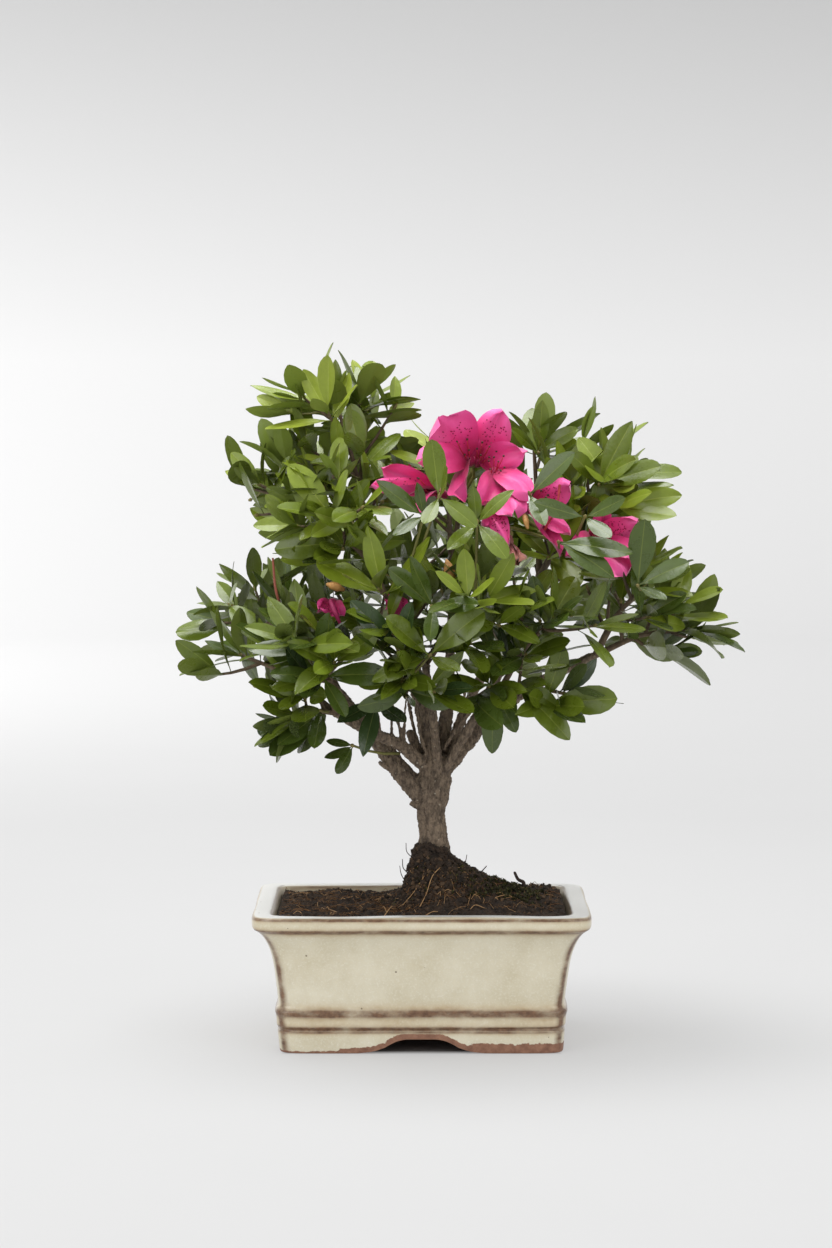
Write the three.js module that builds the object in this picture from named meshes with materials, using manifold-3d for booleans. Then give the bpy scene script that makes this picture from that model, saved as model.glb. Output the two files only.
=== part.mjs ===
// Azalea bonsai in bloom, in a glazed rectangular pot. Millimetres, +Z up.
// The plant is drawn about the pot's middle, then moved so that the origin lies under the middle of its box.
import * as THREE from "three";
import { mergeVertices } from "three/addons/utils/BufferGeometryUtils.js";
import Module from "manifold-3d";

const wasm = await Module();
wasm.setup();

// Driving dimensions
const CLEARANCE = 0.35; // gap between one solid and the next
const GOLDEN_ANGLE = Math.PI * (3 - Math.sqrt(5));
const UP = new THREE.Vector3(0, 0, 1);

const POT = {
  length: 183,
  depth: 136,
  height: 76,
  squareness: 16, // exponent of the outline: higher is a sharper corner
  segments: 24,
  floorUnder: 10,
  floorTop: 16.5,
  rimWidth: 9.6,
  archHeight: 8.4,
  drainRadius: 7,
  drainSpacing: 80,
};

const SOIL = {
  level: 73.2,
  moundHeight: 26,
  steepSide: { reach: 15, power: 7 }, // left of the trunk
  gentleSide: { reach: 33, power: 2 }, // right of the trunk
  crest: { at: [-3, -6], height: 6, reach: 7.5 }, // piled up at the trunk's left front
  swell: { height: 1.4, along: 0.17, across: 0.2 },
  heartRadius: 50, // the rings are round by the trunk and square by the wall
  rings: [0.75, 0.58, 0.45, 0.36, 0.3, 0.25, 0.2, 0.16],
};

const TRUNK = {
  foot: [7, 0],
  ground: 72,
  height: 84,
  sides: 12,
  leans: [0, 0, 0, -1, -1.6, 0, 1], // sideways place of the axis at even steps of height
  radii: [14.5, 10.6, 8.7, 7.6, 8.2, 9.6, 7.4],
  flareHeight: 24,
  flareLobes: 5,
  flareDepth: 0.16,
};

const BOUGH_SIDES = 6;

const TWIG = {
  sides: 3,
  rootRadius: 0.65,
  collar: 6, // length over which a stem reaches its full thickness
  stemRadius: 1.9,
  footRadius: 0.6,
  tipRadius: 1.15,
  shortShare: 0.6, // a side twig too long for its place is tried again at this share of its reach
};

const GROWTH = {
  stemArch: 0.08, // rise of a stem's middle, as a share of its length
  firstSpray: 0.3, // share of the stem where its first side twig stands
  lastSpray: 0.94,
  leans: [76, 48], // degrees that side twigs stand off the stem, at its root and at its tip
  lift: 0.3, // how strongly side twigs turn upwards
  leafPitches: [80, 30], // degrees that leaves stand off their twig, from the lowest to the last
  twigLeaves: 0.42, // share of a side twig where its leaves start
  stemLeaves: 0.8, // share of the stem where the end spray's leaves start
  stalkAt: 0.7, // share of the stem where blossom stalks leave it
};

const LEAF = {
  length: 39,
  widthShare: 0.42,
  thickness: 1.1,
  widthsAt: [0.34, 0.74], // shares of the length where the outline turns
  widths: [0.82, 1], // shares of the half width there
  perSpray: 6,
  shorter: [1, 0.86, 0.7], // shares of its length that a leaf is tried at in its place
};

const BLOSSOM = { radius: 21, depth: 24, tube: 3.2, wall: 1.6, lobes: 5, lobeDepth: 0.36 };

// Boughs: points from inside the trunk to the tip, and the radius at each end.
const BOUGHS = {
  left_low: { through: [[1, 0, 134], [-12, 2, 148], [-26, 6, 165], [-46, 12, 191]], radii: [6.2, 2.4] },
  left_front: { through: [[2, -3, 150], [-9, -10, 161], [-25, -20, 170], [-47, -35, 183]], radii: [3.8, 2.2] },
  tower: { through: [[7, -3, 151], [3, -1, 180], [-11, 5, 225], [-26, 6, 261]], radii: [3.9, 2.3] },
  centre: { through: [[11, 4, 151], [15, 6, 192], [17, 0, 247]], radii: [3.6, 2.2] },
  right_low: { through: [[12, -1, 147], [33, -2, 172], [60, -6, 194], [95, -10, 212]], radii: [4.2, 2.2] },
  right_up: { through: [[14, 3, 151], [32, 7, 180], [52, 10, 219], [65, 6, 255]], radii: [2.9, 2.0] },
  centre_front: { through: [[9, -6, 149], [6, -18, 183], [2, -35, 209]], radii: [2.6, 2.0] },
  right_under: { through: [[13, -5, 149], [29, -16, 177], [42, -32, 194]], radii: [2.4, 1.8] },
  back_left: { through: [[5, 6, 149], [-2, 28, 184], [-13, 58, 216]], radii: [3.4, 2.0] },
  back_right: { through: [[11, 7, 148], [27, 28, 184], [46, 58, 216]], radii: [3.2, 2.0] },
  dead_stub: { through: [[1, 2, 150], [-3, 1, 160], [-6, -1, 168]], radii: [3.2, 2.2] },
};

// The crown's outline from the front, x and z, drawn as a smooth closed curve that no leaf crosses.
const CROWN_OUTLINE = [
  [-66, 376], [-44, 375], [-22, 377], [-6, 360], [4, 340], [40, 350], [70, 356], [114, 341], [143, 302], [127, 279],
  [176, 240], [165, 202], [112, 190], [84, 172], [42, 160], [26, 184], [-8, 186], [-30, 176], [-48, 155],
  [-84, 161], [-88, 192], [-131, 208], [-136, 245], [-86, 275], [-109, 322], [-90, 352],
];

// Masses of foliage: the bough each grows from, the tip of its stem, how far its sprays stand out and how many.
const MASSES = {
  left_tier: { bough: "left_low", tip: [-104, 5, 238], spread: 28, sprays: 8 },
  left_back: { bough: "left_low", tip: [-76, 68, 234], spread: 26, sprays: 6 },
  left_under: { bough: "left_front", tip: [-66, -50, 182], spread: 20, sprays: 7 },
  left_lower_tier: { bough: "left_front", tip: [-97, -36, 214], spread: 24, sprays: 7 },
  left_front: { bough: "left_front", tip: [-52, -78, 226], spread: 26, sprays: 8 },
  crown_top: { bough: "tower", tip: [-46, 0, 348], spread: 34, sprays: 11 },
  crown_left: { bough: "tower", tip: [-88, -6, 305], spread: 26, sprays: 8 },
  tower_front: { bough: "tower", tip: [-49, -54, 290], spread: 28, sprays: 7 },
  tower_back: { bough: "tower", tip: [-52, 55, 312], spread: 30, sprays: 6 },
  blossom_centre: { bough: "centre", tip: [23, -22, 318], spread: 24, sprays: 7 },
  centre_back: { bough: "centre", tip: [14, 48, 312], spread: 30, sprays: 8 },
  front_left: { bough: "centre_front", tip: [-22, -80, 252], spread: 26, sprays: 8 },
  front_right: { bough: "centre_front", tip: [34, -80, 246], spread: 26, sprays: 8 },
  front_low: { bough: "centre_front", tip: [-10, -84, 204], spread: 22, sprays: 8 },
  right_tip: { bough: "right_low", tip: [146, -10, 226], spread: 22, sprays: 7 },
  right_mid: { bough: "right_low", tip: [120, -34, 252], spread: 24, sprays: 8 },
  right_back: { bough: "right_low", tip: [120, 46, 240], spread: 24, sprays: 6 },
  right_top: { bough: "right_up", tip: [103, -3, 308], spread: 30, sprays: 8 },
  right_high: { bough: "right_up", tip: [62, 14, 327], spread: 24, sprays: 7 },
  blossom_right: { bough: "right_up", tip: [84, -34, 278], spread: 22, sprays: 6 },
  right_low: { bough: "right_under", tip: [76, -42, 194], spread: 20, sprays: 6 },
  right_inner: { bough: "right_under", tip: [36, -66, 200], spread: 20, sprays: 7 },
  right_front: { bough: "right_under", tip: [70, -70, 236], spread: 26, sprays: 8 },
  back_left: { bough: "back_left", tip: [-53, 90, 238], spread: 26, sprays: 7 },
  back_mid: { bough: "back_left", tip: [0, 96, 264], spread: 28, sprays: 6 },
  back_right: { bough: "back_right", tip: [86, 82, 254], spread: 28, sprays: 6 },
  back_low: { bough: "back_right", tip: [38, 96, 216], spread: 22, sprays: 5 },
};

// Blossoms: the mass each grows in, where its throat is and which way it faces.
const BLOSSOMS = [
  { mass: "blossom_centre", at: [12, -42, 318], face: [-0.35, -0.75, 0.55] },
  { mass: "blossom_centre", at: [38, -32, 322], face: [0.75, -0.35, 0.55] },
  { mass: "blossom_centre", at: [36, -56, 300], face: [0.25, -0.9, -0.3] },
  { mass: "blossom_centre", at: [-8, -42, 305], face: [-0.85, -0.5, -0.1] },
  { mass: "blossom_right", at: [72, -40, 298], face: [0.5, -0.7, 0.4] },
  { mass: "blossom_right", at: [70, -46, 281], face: [0.2, -0.8, -0.55] },
  { mass: "blossom_right", at: [99, -38, 274], face: [0.8, -0.6, -0.1] },
  { mass: "centre_back", at: [8, 66, 318], face: [-0.2, 0.8, 0.6] },
];

const vec = (p) => new THREE.Vector3(...p);

// A seeded stream of numbers from 0 to 1.
function stream(seed) {
  let state = seed >>> 0;
  return () => {
    state = (Math.imul(state, 1664525) + 1013904223) >>> 0;
    return state / 4294967296;
  };
}

// Solids and meshes
function toSolid(geometry) {
  const bare = geometry.clone();
  bare.deleteAttribute("normal");
  bare.deleteAttribute("uv");
  const merged = mergeVertices(bare, 1e-4);
  return new wasm.Manifold(
    new wasm.Mesh({
      numProp: 3,
      vertProperties: new Float32Array(merged.attributes.position.array),
      triVerts: new Uint32Array(merged.index.array),
    }),
  );
}

// The largest body of a solid, without loose scraps and sealed hollows.
function mainBody(solid) {
  return solid.decompose().reduce((best, body) => (body.volume() > best.volume() ? body : best));
}

function toGeometry(solid) {
  const { vertProperties, triVerts } = solid.getMesh();
  const geometry = new THREE.BufferGeometry();
  geometry.setAttribute("position", new THREE.BufferAttribute(vertProperties, 3));
  geometry.setIndex(new THREE.BufferAttribute(triVerts, 1));
  geometry.computeVertexNormals();
  return geometry;
}

function part(name, solid, material) {
  const mesh = new THREE.Mesh(toGeometry(mainBody(solid)), material);
  mesh.name = name;
  return mesh;
}

// Materials
const finish = (color, roughness) => new THREE.MeshStandardMaterial({ color, roughness, metalness: 0 });
const glaze = finish(0xd6cfb4, 0.3);
const peat = finish(0x2e2219, 0.95);
const bark = finish(0x5b4c40, 0.85);
const leafGreen = finish(0x4c6a24, 0.4);
const petalPink = finish(0xe0348c, 0.5);

// Pot and soil: a lathe whose rings are reshaped into a bowed rectangle.
function bowedOutline(inset, turn) {
  const power = 2 / POT.squareness;
  const bow = (value) => Math.sign(value) * Math.abs(value) ** power;
  const halfLength = POT.length / 2 - inset;
  const halfDepth = POT.depth / 2 - inset;
  return new THREE.Vector2(halfLength * bow(Math.cos(turn)), halfDepth * bow(Math.sin(turn)));
}

// The profile runs from the axis at the bottom to the axis at the top, and place(ring, turn) gives each vertex.
function moulded(profile, place) {
  const rings = profile.map(({ axis, z }) => new THREE.Vector2(axis ? 0 : 1, z));
  const geometry = new THREE.LatheGeometry(rings, POT.segments);
  const position = geometry.attributes.position;
  for (let index = 0; index < position.count; index++) {
    const ring = profile[index % profile.length];
    const step = Math.floor(index / profile.length) % POT.segments;
    const spot = place(ring, (2 * Math.PI * step) / POT.segments);
    position.setXYZ(index, spot.x, spot.y, spot.z);
  }
  return toSolid(geometry);
}

function potWall() {
  const foot = 14.6;
  const rim = POT.height;
  const profile = [
    { axis: true, z: POT.floorUnder },
    { inset: 23.5, z: POT.floorUnder },
    { inset: 22, z: 0 },
    { inset: foot, z: 0 },
    { inset: 13.4, z: 11.6 },
    { inset: 14.2, z: 13.2 },
    { inset: 13.0, z: 14.6 },
    { inset: 12.9, z: 20 },
    { inset: 12.0, z: 22.8 },
    { inset: 13.9, z: 26.4 },
    { inset: 10.9, z: 50 },
    { inset: 8.4, z: 59 },
    { inset: 5.4, z: 64.6 },
    { inset: 0.5, z: 69.2 },
    { inset: 0, z: 72.5 },
    { inset: 0.9, z: rim - 0.5 },
    { inset: 2.2, z: rim },
    { inset: POT.rimWidth, z: rim },
    { inset: POT.rimWidth + 1.4, z: rim - 1.2 },
    { inset: innerInset(58), z: 58 },
    { inset: innerInset(POT.floorTop), z: POT.floorTop },
    { axis: true, z: POT.floorTop },
  ];
  return moulded(profile, ({ axis, inset, z }, turn) => {
    const edge = axis ? new THREE.Vector2() : bowedOutline(inset, turn);
    return new THREE.Vector3(edge.x, edge.y, z);
  });
}

// How far the inside wall stands in from the rim's outline at a height.
function innerInset(z) {
  const share = (POT.height - z) / (POT.height - POT.floorTop);
  return THREE.MathUtils.lerp(POT.rimWidth + 2, 23, share ** 0.75);
}

// The cloud-shaped cut under both long sides, run right through from front to back.
function archCut() {
  const { archHeight } = POT;
  const shape = new THREE.Shape();
  shape.moveTo(-44, -2);
  shape.lineTo(-44, 0);
  shape.quadraticCurveTo(-28, 0.4, -20, archHeight * 0.42);
  shape.quadraticCurveTo(-15, archHeight, -8, archHeight);
  shape.lineTo(8, archHeight);
  shape.quadraticCurveTo(15, archHeight, 20, archHeight * 0.42);
  shape.quadraticCurveTo(28, 0.4, 44, 0);
  shape.lineTo(44, -2);
  const run = POT.depth + 10;
  const cut = new THREE.ExtrudeGeometry(shape, { depth: run, bevelEnabled: false, curveSegments: 3 });
  cut.translate(0, 0, -run / 2);
  cut.rotateX(Math.PI / 2);
  return toSolid(cut);
}

function drainHole(side) {
  const hole = new THREE.CylinderGeometry(POT.drainRadius, POT.drainRadius, 20, 12);
  hole.rotateX(Math.PI / 2);
  hole.translate((side * POT.drainSpacing) / 2, 0, POT.floorTop);
  return toSolid(hole);
}

// Height of the soil over its level, heaped against the trunk and steeper on its left.
function moundAt(x, y) {
  const away = new THREE.Vector2(x - TRUNK.foot[0], y - TRUNK.foot[1]);
  const leftness = 0.5 - (0.5 * away.x) / Math.max(away.length(), 0.001);
  const { steepSide, gentleSide } = SOIL;
  const reach = THREE.MathUtils.lerp(gentleSide.reach, steepSide.reach, leftness);
  const power = THREE.MathUtils.lerp(gentleSide.power, steepSide.power, leftness);
  const { crest, swell } = SOIL;
  const fromCrest = Math.hypot(x - crest.at[0], y - crest.at[1]) / crest.reach;
  const mound = SOIL.moundHeight / (1 + (away.length() / reach) ** power);
  const waves = swell.height * Math.sin(swell.along * x) * Math.cos(swell.across * y);
  return mound + crest.height * Math.exp(-(fromCrest ** 2)) + waves;
}

function soilFill() {
  const wall = (z) => ({ inset: innerInset(z) + CLEARANCE + 0.1, z, spread: 1 });
  const edge = wall(SOIL.level - 1);
  const profile = [
    { axis: true, z: POT.floorTop + CLEARANCE },
    wall(POT.floorTop + CLEARANCE),
    wall(58),
    edge,
    ...SOIL.rings.map((spread) => ({ inset: edge.inset, spread, top: true })),
    { axis: true, top: true },
  ];
  const foot = new THREE.Vector2(...TRUNK.foot);
  return moulded(profile, ({ axis, inset, z, spread, top }, turn) => {
    const spot = foot.clone();
    if (!axis) {
      const round = new THREE.Vector2(Math.cos(turn), Math.sin(turn)).multiplyScalar(SOIL.heartRadius);
      spot.addScaledVector(round.lerp(bowedOutline(inset, turn).sub(foot), spread), spread);
    }
    const surface = SOIL.level + moundAt(spot.x, spot.y);
    return new THREE.Vector3(spot.x, spot.y, top ? surface : z);
  });
}

// Limbs: a cylinder bent along a curve, with its own radius at each step and side.
function bent(curve, steps, sides, radiusAt) {
  const geometry = new THREE.CylinderGeometry(1, 1, 1, sides, steps);
  const { normals, binormals } = curve.computeFrenetFrames(steps);
  const position = geometry.attributes.position;
  const local = new THREE.Vector3();
  for (let index = 0; index < position.count; index++) {
    local.fromBufferAttribute(position, index);
    const step = Math.round((local.y + 0.5) * steps);
    const radius = radiusAt(step / steps, Math.atan2(local.z, local.x));
    const spot = curve.getPointAt(step / steps);
    spot.addScaledVector(binormals[step], local.x * radius);
    spot.addScaledVector(normals[step], local.z * radius);
    position.setXYZ(index, spot.x, spot.y, spot.z);
  }
  return toSolid(geometry);
}

function trunkSolid(grown = 0) {
  const [x, y] = TRUNK.foot;
  const { ground, height, leans, radii } = TRUNK;
  const last = radii.length - 1;
  const axis = leans.map((lean, k) => new THREE.Vector3(x + lean, y, ground + (height * k) / last));
  axis[0].z -= grown;
  return bent(new THREE.CatmullRomCurve3(axis), 2 * last, TRUNK.sides, (share, angle) => {
    const low = Math.min(Math.floor(share * last), last - 1);
    const radius = THREE.MathUtils.lerp(radii[low], radii[low + 1], share * last - low);
    const flare = Math.max(0, 1 - (share * height) / TRUNK.flareHeight);
    return radius * (1 + TRUNK.flareDepth * flare * Math.cos(TRUNK.flareLobes * angle)) + grown;
  });
}

// A bough's curve runs past its tip point by the tip's radius, so that the tip is round.
function boughCurve({ through, radii }) {
  const points = through.map(vec);
  const last = points.at(-1);
  const onward = last.clone().sub(points.at(-2)).setLength(radii[1]);
  return new THREE.CatmullRomCurve3([...points, last.clone().add(onward)]);
}

function boughRadius({ radii }, share, length) {
  const left = (1 - share) * length;
  const radius = THREE.MathUtils.lerp(radii[0], radii[1], share);
  if (left >= radii[1]) return radius;
  return Math.max(0.35, Math.sqrt(left * (2 * radii[1] - left)) / radii[1]) * radii[1];
}

function boughSolid(bough, grown = 0) {
  const curve = boughCurve(bough);
  const length = curve.getLength();
  const steps = Math.round(length / 13);
  const ends = [1 - bough.radii[1] / length, 1 - (0.35 * bough.radii[1]) / length];
  const shares = [...Array(steps).keys()].map((k) => (ends[0] * k) / (steps - 1)).concat(ends[1], 1);
  return loft(curve, shares, BOUGH_SIDES, (share) => boughRadius(bough, share, length) + grown);
}

// As bent, with rings at chosen shares of the curve's length.
function loft(curve, shares, sides, radiusAt) {
  const stepped = {
    computeFrenetFrames: () => framesAt(curve, shares),
    getPointAt: (share) => curve.getPointAt(shares[Math.round(share * (shares.length - 1))]),
  };
  const spot = (share) => shares[Math.round(share * (shares.length - 1))];
  return bent(stepped, shares.length - 1, sides, (share) => radiusAt(spot(share)));
}

// Frames carried along the curve without twist.
function framesAt(curve, shares) {
  const tangents = shares.map((share) => curve.getTangentAt(share));
  const first = Math.abs(tangents[0].y) < 0.9 ? new THREE.Vector3(0, 1, 0) : new THREE.Vector3(1, 0, 0);
  const normals = [first.addScaledVector(tangents[0], -first.dot(tangents[0])).normalize()];
  for (let k = 1; k < shares.length; k++) {
    const turn = new THREE.Quaternion().setFromUnitVectors(tangents[k - 1], tangents[k]);
    normals.push(normals[k - 1].clone().applyQuaternion(turn));
  }
  return { tangents, normals, binormals: tangents.map((t, k) => t.clone().cross(normals[k])) };
}

// Where the limbs are, as short stretches with a radius, for keeping twigs and leaves clear of them.
function limbStretches() {
  const stretches = [];
  for (const bough of Object.values(BOUGHS)) {
    const curve = boughCurve(bough);
    const points = curve.getSpacedPoints(14);
    points.slice(1).forEach((end, k) => {
      stretches.push({ line: new THREE.Line3(points[k], end), radius: Math.max(...bough.radii) });
    });
  }
  const [x, y] = TRUNK.foot;
  const bottom = new THREE.Vector3(x, y, TRUNK.ground);
  const top = bottom.clone().addScaledVector(UP, TRUNK.height);
  stretches.push({ line: new THREE.Line3(bottom, top), radius: Math.max(...TRUNK.radii) });
  return stretches;
}

const limbs = limbStretches();
const nearest = new THREE.Vector3();

function distanceTo(line, point) {
  return line.closestPointToPoint(point, true, nearest).distanceTo(point);
}

// Masses of foliage
function massStem({ bough, tip }) {
  const limb = BOUGHS[bough];
  const end = vec(limb.through.at(-1));
  const way = vec(tip).sub(end);
  const arch = end.clone().addScaledVector(way, 0.5).addScaledVector(UP, way.length() * GROWTH.stemArch);
  const start = end.clone().addScaledVector(arch.clone().sub(end).normalize(), limb.radii[1] + CLEARANCE);
  return new THREE.CatmullRomCurve3([start, arch, vec(tip)]);
}

// A mass's own space is where its stem is nearer than any other's.
function ownSpace(name) {
  const lines = (mass) => {
    const points = mass.stem.getSpacedPoints(4);
    return points.slice(1).map((end, k) => new THREE.Line3(points[k], end));
  };
  const reach = (mass, point) => Math.min(...mass.lines.map((line) => distanceTo(line, point)));
  for (const mass of Object.values(MASSES)) mass.lines ??= lines(mass);
  const others = Object.keys(MASSES).filter((other) => other !== name);
  return (point, margin) => {
    const own = reach(MASSES[name], point);
    return others.every((other) => reach(MASSES[other], point) - own > margin);
  };
}

const crownCurve = new THREE.CatmullRomCurve3(CROWN_OUTLINE.map(([x, z]) => new THREE.Vector3(x, z, 0)), true);
const crownEdge = crownCurve.getSpacedPoints(120).slice(1);

// Whether a point is within the crown's outline: a ray to its right crosses the edge an odd number of times.
function inCrown({ x, z }) {
  let inside = false;
  crownEdge.forEach((to, k) => {
    const from = crownEdge.at(k - 1);
    const crosses = from.y > z !== to.y > z && x < from.x + ((z - from.y) / (to.y - from.y)) * (to.x - from.x);
    if (crosses) inside = !inside;
  });
  return inside;
}

const SPACE_MARGIN = 1.4;
const LIMB_MARGIN = 0.8;

function isClear(points, inSpace) {
  const offLimbs = (p) => limbs.every(({ line, radius }) => distanceTo(line, p) > radius + LIMB_MARGIN);
  const offBlossoms = (p) => blossomBalls.every((ball) => p.distanceTo(ball.centre) > ball.radius);
  return points.every((p) => inCrown(p) && inSpace(p, SPACE_MARGIN) && offLimbs(p) && offBlossoms(p));
}

// Two unit vectors square to an axis.
function squareTo(axis) {
  const side = Math.abs(axis.z) < 0.9 ? UP.clone() : new THREE.Vector3(1, 0, 0);
  side.addScaledVector(axis, -side.dot(axis)).normalize();
  return [side, axis.clone().cross(side)];
}

function radial(axis, angle) {
  const [side, across] = squareTo(axis);
  return side.multiplyScalar(Math.cos(angle)).addScaledVector(across, Math.sin(angle));
}

// A leaf is an eight-faced plate: the six corners of its outline, from the root round by the right,
// are raised and lowered in turn by half its thickness.
function leafPlan({ root, way, face }, length) {
  const up = face.clone().addScaledVector(way, -face.dot(way)).normalize();
  const side = way.clone().cross(up);
  const halfWidth = (length * LEAF.widthShare) / 2;
  const [low, high] = LEAF.widthsAt;
  const [lowWidth, highWidth] = LEAF.widths;
  const corners = [[0, 0], [low, lowWidth], [high, highWidth], [1, 0], [high, -highWidth], [low, -lowWidth]];
  return corners.map(([share, across], k) => {
    const lift = k === 0 ? 0 : (k % 2 ? -0.5 : 0.5) * LEAF.thickness;
    const corner = root.clone().addScaledVector(way, share * length);
    return corner.addScaledVector(side, across * halfWidth).addScaledVector(up, lift);
  });
}

// Seen along its diagonal an octahedron has six corners too, which become the leaf's.
function leafSolid([root, rightLow, rightHigh, tip, leftHigh, leftLow]) {
  const geometry = new THREE.OctahedronGeometry(1);
  const position = geometry.attributes.position;
  for (let index = 0; index < position.count; index++) {
    const [x, y, z] = [position.getX(index), position.getY(index), position.getZ(index)];
    const sides = Math.abs(y) > 0.5 ? [rightHigh, leftLow] : [leftHigh, rightLow];
    const [high, low] = Math.abs(x) > 0.5 ? [root, tip] : sides;
    const spot = x + y + z > 0 ? high : low;
    position.setXYZ(index, spot.x, spot.y, spot.z);
  }
  return toSolid(geometry);
}

function leafSamples(corners) {
  const [root, , , tip] = corners;
  const middles = corners.map((corner, k) => corner.clone().lerp(corners[(k + 1) % corners.length], 0.5));
  const ribs = [0.25, 0.5, 0.75].map((share) => root.clone().lerp(tip, share));
  return [...corners.slice(1), ...middles.slice(1, -1), ...ribs];
}

// A stem is slim where it leaves its bough, beside the stems of other masses, and then tapers to its tip.
function stemSolid(curve) {
  const collar = TWIG.collar / curve.getLength();
  const { rootRadius, stemRadius, tipRadius } = TWIG;
  const radiusAt = (share) => (share === 0 ? rootRadius : THREE.MathUtils.lerp(stemRadius, tipRadius, share));
  return loft(curve, [0, collar, 0.5, 1], TWIG.sides, radiusAt);
}

function twigSolid(curve, fromRadius, toRadius, steps) {
  return bent(curve, steps, TWIG.sides, (share) => THREE.MathUtils.lerp(fromRadius, toRadius, share));
}

// A funnel of five fused petals about +Z, its throat at the origin.
function blossomSolid({ at, face }) {
  const { radius, depth, tube, wall, lobes, lobeDepth } = BLOSSOM;
  const profile = [
    [0, -depth * 0.45],
    [tube, -depth * 0.4],
    [tube * 1.7, 0],
    [radius, depth * 0.42],
    [radius * 0.6, depth * 0.36 + wall],
    [0, wall],
  ];
  const geometry = new THREE.LatheGeometry(profile.map(([r, z]) => new THREE.Vector2(r, z)), lobes * 2);
  geometry.rotateX(Math.PI / 2);
  const position = geometry.attributes.position;
  for (let index = 0; index < position.count; index++) {
    const [x, y, z] = [position.getX(index), position.getY(index), position.getZ(index)];
    const share = Math.min(1, Math.hypot(x, y) / radius);
    const lobe = 1 - lobeDepth * share * (0.5 - 0.5 * Math.cos(lobes * Math.atan2(y, x)));
    position.setXYZ(index, x * lobe, y * lobe, z);
  }
  geometry.applyQuaternion(new THREE.Quaternion().setFromUnitVectors(UP, vec(face).normalize()));
  geometry.translate(...at);
  return toSolid(geometry);
}

function blossomBall({ at, face }) {
  const centre = vec(at).addScaledVector(vec(face).normalize(), BLOSSOM.depth * 0.25);
  return { centre, radius: BLOSSOM.radius * 0.98 };
}

const blossomBalls = BLOSSOMS.map(blossomBall);

// The leaves of one twig, in a spiral: the lowest stand out from it and the last are nearly upright.
function leavesOn(curve, firstShare, numbers) {
  const leaves = [];
  const start = numbers() * 2 * Math.PI;
  for (let k = 0; k < LEAF.perSpray; k++) {
    const rise = k / (LEAF.perSpray - 1);
    const share = THREE.MathUtils.lerp(firstShare, 0.97, rise);
    const axis = curve.getTangentAt(share);
    const degrees = THREE.MathUtils.lerp(...GROWTH.leafPitches, rise) + 16 * (numbers() - 0.5);
    const pitch = THREE.MathUtils.degToRad(degrees);
    const out = radial(axis, start + k * GOLDEN_ANGLE + 0.5 * (numbers() - 0.5));
    const way = axis.clone().multiplyScalar(Math.cos(pitch)).addScaledVector(out, Math.sin(pitch)).normalize();
    const length = LEAF.length * (0.75 + 0.45 * numbers()) * THREE.MathUtils.lerp(1, 0.85, rise);
    const face = axis.clone().addScaledVector(UP, 0.6);
    leaves.push({ root: curve.getPointAt(share), way, face, length });
  }
  return leaves;
}

// Side twigs stand out round the stem and turn upwards; the last spray is the end of the stem itself.
function sprayPlan(mass, index, numbers) {
  const last = index === mass.sprays - 1;
  const share = THREE.MathUtils.lerp(GROWTH.firstSpray, GROWTH.lastSpray, index / (mass.sprays - 1));
  const axis = mass.stem.getTangentAt(share);
  const turn = index * GOLDEN_ANGLE + 0.7 * numbers();
  const lean = THREE.MathUtils.degToRad(THREE.MathUtils.lerp(...GROWTH.leans, share));
  const reach = mass.spread * (0.75 + 0.4 * numbers());
  const way = axis.clone().multiplyScalar(Math.cos(lean)).addScaledVector(radial(axis, turn), Math.sin(lean));
  way.addScaledVector(UP, GROWTH.lift).normalize();
  if (last) return { curves: [mass.stem], firstShare: GROWTH.stemLeaves, last };
  const from = mass.stem.getPointAt(share);
  const reaches = [reach, reach * TWIG.shortShare];
  const curves = reaches.map((length) => new THREE.LineCurve3(from, from.clone().addScaledVector(way, length)));
  return { curves, firstShare: GROWTH.twigLeaves, last };
}

function touches(solid, others) {
  const near = (a, b) => [0, 1, 2].every((axis) => a.min[axis] < b.max[axis] && b.min[axis] < a.max[axis]);
  const box = solid.boundingBox();
  return others.some((other) => near(box, other.boundingBox()) && !solid.intersect(other).isEmpty());
}

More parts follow.
